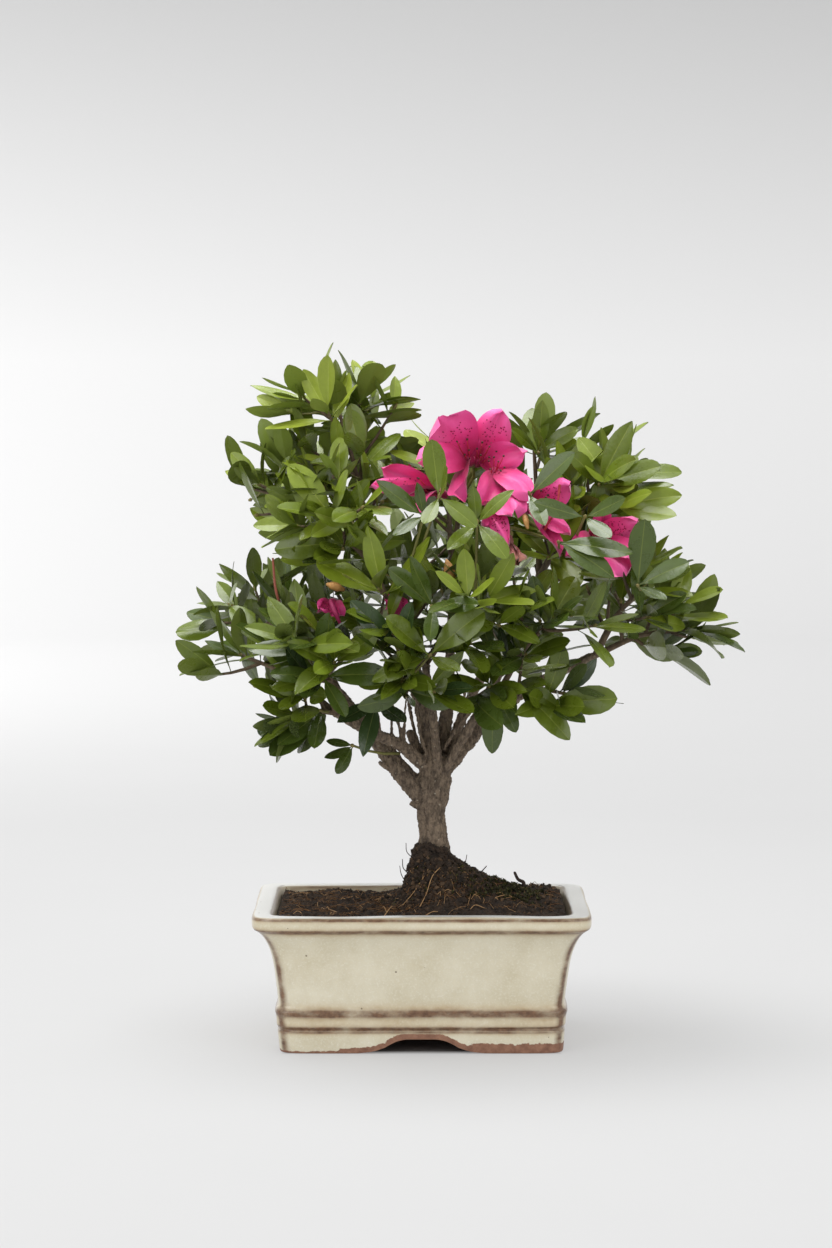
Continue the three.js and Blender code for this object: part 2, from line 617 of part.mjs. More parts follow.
function growMass(name, seed) {
  const mass = MASSES[name];
  const numbers = stream(seed);
  const inSpace = ownSpace(name);
  const stem = stemSolid(mass.stem);
  const flowers = BLOSSOMS.filter((blossom) => blossom.mass === name).flatMap((blossom) => {
    const foot = vec(blossom.at).addScaledVector(vec(blossom.face).normalize(), -BLOSSOM.depth * 0.3);
    const stalk = new THREE.LineCurve3(mass.stem.getPointAt(GROWTH.stalkAt), foot);
    return [twigSolid(stalk, TWIG.footRadius, TWIG.tipRadius, 1), blossomSolid(blossom)];
  });
  const sprays = [];
  for (let index = 0; index < mass.sprays; index++) {
    const { curves, firstShare, last } = sprayPlan(mass, index, numbers);
    const seedOfLeaves = Math.floor(numbers() * 1e6);
    const curve = curves.find((line) => last || isClear(line.getSpacedPoints(5).slice(1), inSpace));
    if (!curve) continue;
    const leaves = leavesOn(curve, firstShare, stream(seedOfLeaves));
    sprays.push({ leaves, twig: last ? stem : twigSolid(curve, TWIG.footRadius, TWIG.tipRadius, 1) });
  }
  const twigs = [stem, ...flowers, ...sprays.map(({ twig }) => twig).filter((twig) => twig !== stem)];
  const kept = [stem, ...flowers];
  const leafSolids = [];
  for (const { leaves, twig } of sprays) {
    const neighbours = twigs.filter((other) => other !== twig);
    const before = leafSolids.length;
    for (const leaf of leaves) {
      const fits = (length) => {
        const plan = leafPlan(leaf, length);
        const solid = isClear(leafSamples(plan), inSpace) ? leafSolid(plan) : null;
        return solid && !touches(solid, neighbours) && !touches(solid, leafSolids) ? solid : null;
      };
      const solid = LEAF.shorter.reduce((found, share) => found ?? fits(leaf.length * share), null);
      if (solid) leafSolids.push(solid);
    }
    if (twig !== stem && leafSolids.length > before) kept.push(twig);
  }
  return [...kept, ...leafSolids].reduce((joined, piece) => joined.add(piece));
}

// Assembly
const bonsai = new THREE.Group();

const pot = [archCut(), drainHole(-1), drainHole(1)].reduce((wall, cut) => wall.subtract(cut), potWall());
bonsai.add(part("pot", pot, glaze));

const trunkGrown = trunkSolid(CLEARANCE);
bonsai.add(part("soil", soilFill().subtract(trunkGrown), peat));
bonsai.add(part("trunk", trunkSolid(), bark));

const cutters = [trunkGrown];
for (const [name, bough] of Object.entries(BOUGHS)) {
  const solid = cutters.reduce((limb, cutter) => limb.subtract(cutter), boughSolid(bough));
  bonsai.add(part(name === "dead_stub" ? name : `bough_${name}`, solid, bark));
  cutters.push(boughSolid(bough, CLEARANCE));
}

for (const mass of Object.values(MASSES)) mass.stem = massStem(mass);
Object.keys(MASSES).forEach((name, index) => {
  const hasBlossom = BLOSSOMS.some((blossom) => blossom.mass === name);
  bonsai.add(part(`foliage_${name}`, growMass(name, 101 + index), hasBlossom ? petalPink : leafGreen));
});

// The origin goes under the middle of the whole plant's box, on the surface that the pot stands on.
const middle = new THREE.Box3().setFromObject(bonsai).getCenter(new THREE.Vector3());
bonsai.position.set(-middle.x, -middle.y, 0);

export default bonsai;
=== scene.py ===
import bpy
import math
import numpy as np
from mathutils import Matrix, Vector, noise


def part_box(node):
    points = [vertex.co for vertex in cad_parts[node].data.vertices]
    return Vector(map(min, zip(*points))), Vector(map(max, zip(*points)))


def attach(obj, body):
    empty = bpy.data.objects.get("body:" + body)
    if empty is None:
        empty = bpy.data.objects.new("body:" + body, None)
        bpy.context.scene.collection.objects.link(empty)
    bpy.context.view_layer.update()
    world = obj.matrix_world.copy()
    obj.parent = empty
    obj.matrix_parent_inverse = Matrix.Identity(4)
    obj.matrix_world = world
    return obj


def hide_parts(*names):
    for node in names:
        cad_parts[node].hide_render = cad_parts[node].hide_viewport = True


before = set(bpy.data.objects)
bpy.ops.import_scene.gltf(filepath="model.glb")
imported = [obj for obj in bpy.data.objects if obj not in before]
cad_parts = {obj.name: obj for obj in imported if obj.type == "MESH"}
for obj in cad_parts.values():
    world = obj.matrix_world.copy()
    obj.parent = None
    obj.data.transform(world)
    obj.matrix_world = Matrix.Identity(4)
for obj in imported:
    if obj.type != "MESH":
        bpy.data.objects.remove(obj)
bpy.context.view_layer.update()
bpy.ops.object.select_all(action="DESELECT")  # the frame's nodes come in selected

potLow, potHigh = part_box("pot")
potMiddle = np.array(((potLow.x + potHigh.x) / 2, (potLow.y + potHigh.y) / 2, 0.0))
foliageNodes = sorted(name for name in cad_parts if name.startswith("foliage_"))
limbNodes = sorted(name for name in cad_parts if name.startswith("bough_")) + ["dead_stub", "trunk"]
goldenAngle = math.pi * (3 - math.sqrt(5))
up = np.array((0.0, 0.0, 1.0))
print("frame loaded with", len(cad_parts), "nodes")


# small helpers, all in plant millimetres about the pot's middle
def toFrame(spots):
    return np.asarray(spots, float) * 0.001 + potMiddle


def unit(way):
    way = np.asarray(way, float)
    return way / np.linalg.norm(way)


def mix(low, high, share):
    return low + (high - low) * share


def stream(seed):  # seeded numbers from 0 to 1
    state = seed

    def nextNumber():
        nonlocal state
        state = (state * 1664525 + 1013904223) % 4294967296
        return state / 4294967296

    return nextNumber


def smoothPath(through, closed=False, density=24):  # a curve through the points, measured along its length
    spots = np.asarray(through, float)
    count = len(spots)
    drawn = []
    share = np.linspace(0, 1, density, endpoint=False)[:, None]
    for k in range(count if closed else count - 1):
        one, two = spots[k], spots[(k + 1) % count]
        before = spots[k - 1] if closed or k else 2 * one - two
        after = spots[(k + 2) % count] if closed or k + 2 < count else 2 * two - one
        pairs = ((before, one), (one, two), (two, after))
        gapA, gapB, gapC = (np.linalg.norm(b - a) ** 0.5 for a, b in pairs)
        leave = ((one - before) / gapA - (two - before) / (gapA + gapB) + (two - one) / gapB) * gapB
        arrive = ((two - one) / gapB - (after - one) / (gapB + gapC) + (after - two) / gapC) * gapB
        square = -3 * one + 3 * two - 2 * leave - arrive
        cube = 2 * one - 2 * two + leave + arrive
        drawn.append(one + leave * share + square * share**2 + cube * share**3)
    drawn.append(spots[:1] if closed else spots[-1:])
    line = np.concatenate(drawn)
    run = np.concatenate(([0.0], np.cumsum(np.linalg.norm(np.diff(line, axis=0), axis=1))))
    return {"line": line, "run": run / run[-1], "length": run[-1]}


def spotAt(path, share):
    return np.stack([np.interp(share, path["run"], path["line"][:, axis]) for axis in range(3)], axis=-1)


def wayAt(path, share):
    return unit(spotAt(path, min(1, share + 0.01)) - spotAt(path, max(0, share - 0.01)))


def squareTo(axis):
    side = up if abs(axis[2]) < 0.9 else np.array((1.0, 0.0, 0.0))
    side = unit(side - axis * side.dot(axis))
    return side, np.cross(axis, side)


def radial(axis, angle):
    side, across = squareTo(axis)
    return side * math.cos(angle) + across * math.sin(angle)


def distancesTo(spots, starts, ends):
    runs = ends - starts
    shares = ((spots[:, None] - starts) * runs).sum(2) / (runs * runs).sum(1)
    nearest = starts + np.clip(shares, 0, 1)[..., None] * runs
    return np.linalg.norm(spots[:, None] - nearest, axis=2)


class Heap:  # points and faces of many small things, gathered for one mesh
    def __init__(self):
        self.spots, self.faces, self.finishes, self.marks, self.count = [], [], [], [], 0

    def add(self, spots, faces, finish=0, mark=0.0):
        self.spots.append(np.asarray(spots, float))
        self.faces.extend(tuple(int(k) + self.count for k in face) for face in faces)
        self.finishes.extend([finish] * len(faces) if np.isscalar(finish) else finish)
        self.marks.append(np.broadcast_to(mark, (len(spots),)).astype(float))
        self.count += len(spots)

    def piece(self, name, *finishes, markName=None):
        mesh = bpy.data.meshes.new(name)
        mesh.from_pydata(toFrame(np.concatenate(self.spots)).tolist(), [], self.faces)
        for finish in finishes:
            mesh.materials.append(finish)
        mesh.polygons.foreach_set("material_index", self.finishes)
        mesh.polygons.foreach_set("use_smooth", [True] * len(self.faces))
        if markName:
            layer = mesh.attributes.new(markName, "FLOAT", "POINT")
            layer.data.foreach_set("value", np.concatenate(self.marks))
        mesh.update()
        piece = bpy.data.objects.new(name, mesh)
        bpy.context.collection.objects.link(piece)
        return piece


def gridFaces(rows, columns, closed=False):  # quads between rows of points
    return [
        (row * columns + k, row * columns + after, (row + 1) * columns + after, (row + 1) * columns + k)
        for row in range(rows - 1)
        for k, after in ((k, (k + 1) % columns) for k in range(columns if closed else columns - 1))
    ]


def tube(heap, spots, radii, sides=5, finish=0):
    spots = np.asarray(spots, float)
    ways = np.gradient(spots, axis=0)
    ways /= np.linalg.norm(ways, axis=1)[:, None]
    side = squareTo(ways[0])[0]
    angles = np.arange(sides) * 2 * math.pi / sides
    rings = []
    for spot, way, radius in zip(spots, ways, np.broadcast_to(radii, (len(spots),))):
        side = unit(side - way * side.dot(way))
        ring = np.outer(np.cos(angles), side) + np.outer(np.sin(angles), np.cross(way, side))
        rings.append(spot + ring * radius)
    rings.append(spots[-1:] + ways[-1] * radii[-1] * 0.6 if np.ndim(radii) else spots[-1:])
    last = (len(spots) - 1) * sides
    faces = gridFaces(len(spots), sides, True)
    faces += [(last + k, last + (k + 1) % sides, last + sides) for k in range(sides)]
    heap.add(np.concatenate(rings), faces, finish)


def settle(piece, slotName, *nodes):  # the piece stands for these nodes
    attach(piece, "root")
    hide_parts(*nodes)
    print(piece.name, "has", sum(len(face.vertices) - 2 for face in piece.data.polygons), "triangles")


def colour(*levels):  # red, green and blue from 0 to 255, as seen on a screen
    return tuple(((c / 255 + 0.055) / 1.055) ** 2.4 if c > 10 else c / 3294.6 for c in levels) + (1.0,)


# shader nodes, in a group's tree or a material's
def addNode(tree, kind, inputs, **settings):  # each input takes another node's socket or a plain value
    node = tree.nodes.new(kind)
    for name, value in settings.items():
        setattr(node, name, value)
    for key, value in inputs.items():
        if isinstance(value, bpy.types.NodeSocket):
            tree.links.new(value, node.inputs[key])
        else:
            node.inputs[key].default_value = value
    return node


def newGroup(name, inputs, outputs):
    group = bpy.data.node_groups.new(name, "ShaderNodeTree")
    for socketName, (kind, value) in inputs.items():
        socket = group.interface.new_socket(name=socketName, in_out="INPUT", socket_type="NodeSocket" + kind)
        socket.default_value = value
    for socketName, kind in outputs.items():
        group.interface.new_socket(name=socketName, in_out="OUTPUT", socket_type="NodeSocket" + kind)
    return group, group.nodes.new("NodeGroupInput").outputs


def stretched(group, given):  # Object coordinates, drawn out
    place = addNode(group, "ShaderNodeTexCoord", {}).outputs["Object"]
    factors = {0: place, 1: given["Stretch"]}
    return addNode(group, "ShaderNodeVectorMath", factors, operation="MULTIPLY").outputs[0]


def mottleGroup():  # two colours in soft patches
    inputs = {
        "Dark": ("Color", (0, 0, 0, 1)), "Light": ("Color", (1, 1, 1, 1)), "Stretch": ("Vector", (1, 1, 1)),
        "Size": ("Float", 100.0), "Contrast": ("Float", 2.0),
    }
    group, given = newGroup("mottle", inputs, {"Colour": "Color", "Mask": "Float"})
    texture = {"Vector": stretched(group, given), "Scale": given["Size"], "Detail": 5, "Roughness": 0.6}
    patches = addNode(group, "ShaderNodeTexNoise", texture).outputs["Fac"]
    half = {0: given["Contrast"], 1: -0.5, 2: 0.5}
    shift = addNode(group, "ShaderNodeMath", half, operation="MULTIPLY_ADD").outputs[0]
    steep = {0: patches, 1: given["Contrast"], 2: shift}
    mask = addNode(group, "ShaderNodeMath", steep, operation="MULTIPLY_ADD", use_clamp=True).outputs[0]
    both = {0: mask, 6: given["Dark"], 7: given["Light"]}
    blend = addNode(group, "ShaderNodeMix", both, data_type="RGBA").outputs[2]
    addNode(group, "NodeGroupOutput", {"Colour": blend, "Mask": mask})
    return group


def reliefGroup():  # fine bumps for a Bump node
    inputs = {"Stretch": ("Vector", (1, 1, 1)), "Size": ("Float", 400.0)}
    group, given = newGroup("relief", inputs, {"Height": "Float"})
    texture = {"Vector": stretched(group, given), "Scale": given["Size"]}
    cells = addNode(group, "ShaderNodeTexVoronoi", texture).outputs["Distance"]
    grain = addNode(group, "ShaderNodeTexNoise", {**texture, "Detail": 6}).outputs["Fac"]
    both = {0: cells, 1: 0.5, 2: grain}
    height = addNode(group, "ShaderNodeMath", both, operation="MULTIPLY_ADD").outputs[0]
    addNode(group, "NodeGroupOutput", {"Height": height})
    return group


def specksGroup():  # round specks, thinned out to a share of their places
    inputs = {"Size": ("Float", 100.0), "Radius": ("Float", 0.1), "Share": ("Float", 0.3)}
    group, given = newGroup("specks", inputs, {"Mask": "Float"})
    place = addNode(group, "ShaderNodeTexCoord", {}).outputs["Object"]
    cells = addNode(group, "ShaderNodeTexVoronoi", {"Vector": place, "Scale": given["Size"]}).outputs
    less = {0: cells["Distance"], 1: given["Radius"]}
    near = addNode(group, "ShaderNodeMath", less, operation="LESS_THAN").outputs[0]
    lot = addNode(group, "ShaderNodeSeparateColor", {0: cells["Color"]}).outputs[0]
    chosen = addNode(group, "ShaderNodeMath", {0: lot, 1: given["Share"]}, operation="LESS_THAN").outputs[0]
    mask = addNode(group, "ShaderNodeMath", {0: near, 1: chosen}, operation="MULTIPLY").outputs[0]
    addNode(group, "NodeGroupOutput", {"Mask": mask})
    return group


mottle, relief, specks = mottleGroup(), reliefGroup(), specksGroup()


class Finish:  # one material with its node tree at hand
    def __init__(self, name, roughness):
        self.material = bpy.data.materials.new(name)
        self.material.use_nodes = True
        self.tree = self.material.node_tree
        self.shader = self.tree.nodes["Principled BSDF"]
        self.shader.inputs["Roughness"].default_value = roughness

    def group(self, tree, **values):
        return addNode(self.tree, "ShaderNodeGroup", values, node_tree=tree).outputs

    def patches(self, dark, light, size, contrast, **more):  # the mottle group, with colours as on a screen
        tones = {"Dark": colour(*dark), "Light": colour(*light)}
        return self.group(mottle, Size=size, Contrast=contrast, **tones, **more)

    def blend(self, factor, first, second):  # first and second are sockets or plain colours
        inputs = {0: factor, 6: first, 7: second}
        return addNode(self.tree, "ShaderNodeMix", inputs, data_type="RGBA").outputs[2]

    def math(self, operation, *values, clamp=False):
        inputs = dict(enumerate(values))
        return addNode(self.tree, "ShaderNodeMath", inputs, operation=operation, use_clamp=clamp).outputs[0]

    def mark(self, name):
        return addNode(self.tree, "ShaderNodeAttribute", {}, attribute_name=name).outputs["Fac"]

    def feed(self, name, socket):
        self.tree.links.new(socket, self.shader.inputs[name])

    def roughness(self, mask, low, high):
        self.feed("Roughness", self.math("MULTIPLY_ADD", mask, high - low, low))

    def bump(self, strength, distance, height=None, **values):  # the relief group's, unless a height is given
        if height is None:
            height = self.group(relief, **values)["Height"]
        inputs = {"Height": height, "Strength": strength, "Distance": distance}
        self.feed("Normal", addNode(self.tree, "ShaderNodeBump", inputs).outputs[0])

    def set(self, **values):
        for socketName, value in values.items():
            self.shader.inputs[socketName.replace("_", " ")].default_value = value


def patchy(
    name, dark, light, size, contrast, roughness, stretch=(1, 1, 1), bump=0.3, bumpSize=900, depth=0.0004
):  # two colours in patches, a little rough
    finish = Finish(name, roughness)
    patches = finish.patches(dark, light, size, contrast, Stretch=stretch)
    finish.feed("Base Color", patches["Colour"])
    finish.roughness(patches["Mask"], roughness - 0.08, min(1, roughness + 0.08))
    finish.bump(bump, depth, Size=bumpSize, Stretch=stretch)
    return finish.material


# pot
potPlan = {
    "length": 183, "depth": 136, "squareness": 16, "edgeCuts": 23,
    "rings": (  # inset from the rim's outline and height, from the foot up, over the rim and down inside
        (14.9, 0), (14.5, 0.5), (14.2, 3), (13.5, 11), (13.5, 11.9), (14.3, 12.7), (14.4, 13.6), (13.2, 14.4),
        (12.95, 15.2), (12.85, 19.6), (12.2, 21.4), (12, 22.6), (12.5, 23.6), (13.6, 25.2), (13.8, 27),
        (12.6, 36), (11, 49), (9.6, 55), (7.8, 60), (5.2, 64.8), (2.6, 67.2), (0.8, 68.3), (0.2, 69.3),
        (0, 71), (0, 73.6), (0.25, 75), (0.9, 75.75), (2.2, 76), (5.5, 76), (8.6, 76), (9.9, 75.6),
        (10.8, 74.8), (11.8, 73.4), (13.5, 70), (15.4, 60), (23, 17.5), (25, 16.5),
    ),
    "footWidth": 7.4, "recess": 10, "archHeight": 8.4,
    "archX": (0, 8, 11, 14, 17, 20, 24, 28, 34, 44),
    "archShare": (1, 1, 0.95, 0.83, 0.65, 0.42, 0.24, 0.12, 0.04, 0),
    "drainX": 40, "drainRadius": 7, "waviness": 0.75, "waveSize": 0.022, "waveSeed": 12,
    "ledge": (21.5, 3, 0.045, 1.1),  # height, width, wave size and sag
}


def archAt(x):
    return np.interp(np.abs(x), potPlan["archX"], np.array(potPlan["archShare"]) * potPlan["archHeight"])


def outlineShare(x, y):  # 1 on the rim's outline, less inside it
    power = potPlan["squareness"]
    across, along = np.abs(x) / (potPlan["length"] / 2), np.abs(y) / (potPlan["depth"] / 2)
    return (across**power + along**power) ** (1 / power)


def readSpots(piece):
    spots = np.empty(len(piece.data.vertices) * 3)
    piece.data.vertices.foreach_get("co", spots)
    return (spots.reshape(-1, 3) - potMiddle) * 1000


def writeSpots(piece, spots):
    piece.data.vertices.foreach_set("co", toFrame(spots).ravel())
    piece.data.update()


def pick(*pieces):  # the first becomes the active one
    bpy.ops.object.select_all(action="DESELECT")
    for piece in pieces:
        piece.select_set(True)
    bpy.context.view_layer.objects.active = pieces[0]


def applied(piece, kind, **settings):
    modifier = piece.modifiers.new(kind.title(), kind)
    for name, value in settings.items():
        setattr(modifier, name, value)
    pick(piece)
    bpy.ops.object.modifier_apply(modifier=modifier.name)


def centred(piece):  # the place goes into the mesh
    pick(piece)
    bpy.ops.object.transform_apply(location=True, rotation=True, scale=True)


def editAll():
    bpy.ops.object.mode_set(mode="EDIT")
    bpy.ops.mesh.select_all(action="SELECT")


def extrude(rise):
    bpy.ops.mesh.extrude_region_move(TRANSFORM_OT_translate={"value": (0, 0, rise / 1000)})


def turnOutwards():  # and leave edit mode
    bpy.ops.mesh.select_all(action="SELECT")
    bpy.ops.mesh.normals_make_consistent(inside=False)
    bpy.ops.object.mode_set(mode="OBJECT")


def makePot():
    middle = tuple(potMiddle)
    bpy.ops.mesh.primitive_plane_add(size=2, location=middle)
    pot = bpy.context.object
    pot.name = pot.data.name = "potGlazed"
    bpy.ops.object.mode_set(mode="EDIT")
    bpy.ops.mesh.delete(type="ONLY_FACE")
    bpy.ops.mesh.select_all(action="SELECT")
    bpy.ops.mesh.subdivide(number_cuts=potPlan["edgeCuts"])
    bpy.ops.object.mode_set(mode="OBJECT")
    centred(pot)
    spots = readSpots(pot)
    firstInset = potPlan["rings"][0][0]
    half = np.array((potPlan["length"] / 2 - firstInset, potPlan["depth"] / 2 - firstInset, 1))
    square = spots / 1000  # the outline's corners are rounded and its sides bow a little
    power = potPlan["squareness"]
    square[:, :2] /= ((np.abs(square[:, :2]) ** power).sum(1) ** (1 / power))[:, None]
    writeSpots(pot, square * half)
    editAll()
    bpy.ops.mesh.edge_face_add()
    inset, height = potPlan["rings"][0]
    for nextInset, nextHeight in potPlan["rings"][1:]:
        extrude(nextHeight - height)
        wide = (potPlan["length"] / 2 - nextInset) / (potPlan["length"] / 2 - inset)
        deep = (potPlan["depth"] / 2 - nextInset) / (potPlan["depth"] / 2 - inset)
        bpy.ops.transform.resize(value=(wide, deep, 1), center_override=middle)
        inset, height = nextInset, nextHeight
    bpy.ops.object.mode_set(mode="OBJECT")
    under = [face for face in pot.data.polygons if abs(face.normal.z) > 0.9 and face.center.z < 1e-5]
    for face in pot.data.polygons:
        face.select = face in under
    bpy.ops.object.mode_set(mode="EDIT")
    bpy.ops.mesh.inset(thickness=potPlan["footWidth"] / 1000)
    bpy.ops.mesh.inset(thickness=0.0008)
    bpy.ops.transform.translate(value=(0, 0, potPlan["recess"] / 1000))
    turnOutwards()
    applied(pot, "SUBSURF", levels=2, render_levels=2)
    cutters, radius = [archCutter()], potPlan["drainRadius"] / 1000
    for side in (-1, 1):
        place = (potMiddle[0] + side * potPlan["drainX"] / 1000, potMiddle[1], 0.0165)
        bpy.ops.mesh.primitive_cylinder_add(vertices=32, radius=radius, depth=0.02, location=place)
        cutters.append(bpy.context.object)
    for cutter in cutters:
        applied(pot, "BOOLEAN", object=cutter, operation="DIFFERENCE", solver="EXACT")
        bpy.data.objects.remove(cutter)
    spots = readSpots(pot)
    ledgeHeight, ledgeWide, ledgeWave, ledgeSag = potPlan["ledge"]
    noise.seed_set(potPlan["waveSeed"])  # else noise_vector starts from the clock
    for spot in spots:  # thrown by hand, so nothing is quite straight
        amount = potPlan["waviness"] * min(1, max(0, spot[2] - 1) / 12)
        spot += amount * np.array(noise.noise_vector(Vector(spot) * potPlan["waveSize"] + Vector((4, 1, 7))))
        onLedge = math.exp(-(((spot[2] - ledgeHeight) / ledgeWide) ** 2))
        wave = noise.noise(Vector((spot[0] * ledgeWave, spot[1] * ledgeWave, 2.0)))
        spot[2] += ledgeSag * (onLedge * wave)
    writeSpots(pot, spots)
    bpy.ops.object.shade_smooth_by_angle(angle=math.radians(40))
    return pot


def archCutter():  # a sheet raised to the arch and thickened downwards
    run = potPlan["depth"] / 1000 + 0.02
    bpy.ops.mesh.primitive_grid_add(x_subdivisions=44, y_subdivisions=1, size=1, location=tuple(potMiddle))
    cutter = bpy.context.object
    cutter.scale = (2 * potPlan["archX"][-1] / 1000, run, 1)
    centred(cutter)
    spots = readSpots(cutter)
    spots[:, 2] = archAt(spots[:, 0]) - 0.01
    writeSpots(cutter, spots)
    editAll()
    extrude(-12)
    turnOutwards()
    return cutter


glazePlan = {
    "breaks": (  # height, width and amount of the brown edges
        (74.5, 0.65, 2.1), (67.8, 1.0, 1.8), (22.0, 1.9, 1.7), (13.6, 1.1, 1.8), (11.6, 0.6, 0.8),
    ),
    "haloWidth": 2.3, "rimWidth": 9, "coveTop": 68, "grooveInset": 20,
    "clayLeft": 1.6, "clayRight": 5.6, "clayTurn": (-10, 40), "clayBlend": 1.6, "clayTop": 12.4,
    "clayOverArch": 3.0, "footTop": 11,
    "corner": (0.91, 0.03, 1.3, 0.8),  # place along the short side, width, brown and halo
    "lip": (10.4, 0.7, 0.8, 70),  # inset, width and brown of the rim's inner edge, and where it starts
    "rim": (75.2, 0.5, 0.9, 0.8),  # height and inset of the painted light on the rim's top, each with its blend
    "innerWall": (26, 75.4),
}


def markGlaze(pot):  # where the glaze breaks brown, where light is painted on the rim's top and where the clay is bare
    x, y, z = readSpots(pot).T
    share = outlineShare(x, y)
    across, along = np.abs(x) / (potPlan["length"] / 2), np.abs(y) / (potPlan["depth"] / 2)
    inset = np.where(across > along, potPlan["length"] / 2, potPlan["depth"] / 2) * (1 - share)
    onRim = inset < glazePlan["rimWidth"]
    outside = onRim | (z < glazePlan["coveTop"]) & (inset < glazePlan["grooveInset"])
    breaks, haloWide = glazePlan["breaks"], glazePlan["haloWidth"]
    edge = sum(amount * np.exp(-(((z - height) / wide) ** 2)) for height, wide, amount in breaks)
    halo = sum(amount * np.exp(-(((z - height) / (wide * haloWide)) ** 2)) for height, wide, amount in breaks)
    cornerAt, cornerWide, cornerBrown, cornerHalo = glazePlan["corner"]
    corner = np.exp(-(((along / np.maximum(share, 0.1) - cornerAt) / cornerWide) ** 2)) * (across >= along)
    edge = edge + cornerBrown * corner * (z < glazePlan["coveTop"] - 1)
    halo = np.clip(halo + cornerHalo * corner * (z < glazePlan["coveTop"] + 1), 0, 1) * outside
    lipInset, lipWide, lipBrown, lipFoot = glazePlan["lip"]
    edge = edge * outside + lipBrown * np.exp(-(((inset - lipInset) / lipWide) ** 2)) * (z > lipFoot)
    rimHeight, heightBlend, rimInset, insetBlend = glazePlan["rim"]
    # painted light: the rim's top is marked to be painted whiter, as if lit from above
    rim = np.clip((z - rimHeight) / heightBlend, 0, 1) * np.clip((inset - rimInset) / insetBlend, 0, 1)
    edge, halo = edge * (1 - rim * onRim), halo * (1 - rim)
    normals = np.array([vertex.normal for vertex in pot.data.vertices])
    facing = normals[:, 0] * x + normals[:, 1] * y  # less than 0 where a face looks inwards
    wallFoot, wallTop = glazePlan["innerWall"]
    inner = ((facing < 0) & (z < wallTop) & (z > wallFoot)) * 1.0
    low = z < glazePlan["footTop"]
    turnsAt, turnsOver = glazePlan["clayTurn"]
    clayTop = mix(glazePlan["clayLeft"], glazePlan["clayRight"], np.clip((x - turnsAt) / turnsOver, 0, 1))
    overArch = np.maximum(clayTop, archAt(x) + glazePlan["clayOverArch"] * low)
    clayTop = np.where(np.abs(x) < potPlan["archX"][-1], overArch, clayTop)
    clay = np.clip((clayTop - z) / glazePlan["clayBlend"] + 0.5, 0, 1) * (z < glazePlan["clayTop"])
    hidden = (facing < -0.2) | (normals[:, 2] < -0.7)
    clay = np.maximum(clay, hidden & low)
    marks = {"edgeBreak": edge, "edgeHalo": halo, "rimPaintedLight": rim, "bareClay": clay, "innerWall": inner}
    for name, values in marks.items():
        layer = pot.data.attributes.new(name, "FLOAT", "POINT")
        layer.data.foreach_set("value", np.clip(values, 0, 1).astype(np.float32))


def glazeFinish():
    finish = Finish("creamGlaze", 0.34)
    body = finish.patches((203, 192, 161), (230, 223, 200), 48, 2.0)["Colour"]
    fine = finish.patches((178, 168, 141), (230, 226, 211), 900, 2.8)
    cream = finish.blend(finish.math("MULTIPLY", fine["Mask"], 0.5), body, fine["Colour"])
    # the rim's top is painted near-white: painted light from the overhead lamp
    rim = finish.blend(finish.math("MULTIPLY", finish.mark("rimPaintedLight"), 0.9), cream, colour(244, 244, 241))
    ragged = finish.group(mottle, Size=90, Contrast=2.4, Stretch=(0.7, 0.7, 1.6))["Mask"]
    amber = finish.patches((176, 146, 104), (204, 184, 146), 260, 2)["Colour"]
    haze = finish.math("MULTIPLY", finish.mark("edgeHalo"), finish.math("MULTIPLY_ADD", ragged, 0.5, 0.25))
    worn = finish.math("MULTIPLY", finish.mark("edgeBreak"), finish.math("MULTIPLY_ADD", ragged, 0.9, 0.45))
    worn = finish.math("SMOOTH_MIN", worn, 1.0, 0.1, clamp=True)
    brown = finish.patches((82, 54, 36), (132, 98, 70), 420, 2.2)["Colour"]
    edges = finish.blend(worn, finish.blend(haze, rim, amber), brown)
    inner = finish.blend(finish.math("MULTIPLY", finish.mark("innerWall"), 0.6), edges, colour(128, 108, 86))
    spotMask = finish.group(specks, Size=110, Radius=0.06, Share=0.45)["Mask"]
    spotted = finish.blend(finish.math("MULTIPLY", spotMask, 0.75), inner, colour(96, 78, 52))
    rough = finish.group(mottle, Size=240, Contrast=2.5)["Mask"]
    bare = finish.math("ADD", finish.mark("bareClay"), finish.math("MULTIPLY_ADD", rough, 0.7, -0.35))
    bare = finish.math("MULTIPLY_ADD", bare, 6, -2.5, clamp=True)
    clay = finish.patches((112, 74, 56), (158, 116, 92), 300, 2)["Colour"]
    finish.feed("Base Color", finish.blend(bare, spotted, clay))
    finish.roughness(bare, 0.3, 0.85)
    height = finish.math("MULTIPLY_ADD", bare, -0.8, finish.group(relief, Size=420)["Height"])
    finish.bump(0.16, 0.0006, height)
    finish.set(Coat_Weight=0.3, Coat_Roughness=0.15)
    return finish.material


pot = makePot()
markGlaze(pot)
pot.data.materials.append(glazeFinish())
settle(pot, "glaze", "pot")

# soil, heaped against the trunk
soilPlan = {
    "level": 73.2, "halfLength": 78.4, "halfDepth": 54.9, "moundHeight": 26, "foot": (7, 0),
    "steep": (15, 7), "gentle": (33, 2),  # reach and power of the mound's left and right side
    "crest": (-3, -6, 6, 7.5),  # x, y, height and reach of what is piled up at the trunk's left front
    "swell": (1.4, 0.17, 0.2),  # height of the waves, and how close they lie along x and y
    "lumps": (0.22, 1.3, 1.5),  # closeness, height, and how much higher on the mound
    "lumpMound": (8, 20),  # x of its middle, and its reach
    "grain": (0.7, 1.1), "edgeDrop": 1.2, "skirt": 8,
    "open": (76, 52.5), "moundShare": 0.5, "onMound": (8, 34),  # where loose bits lie
}


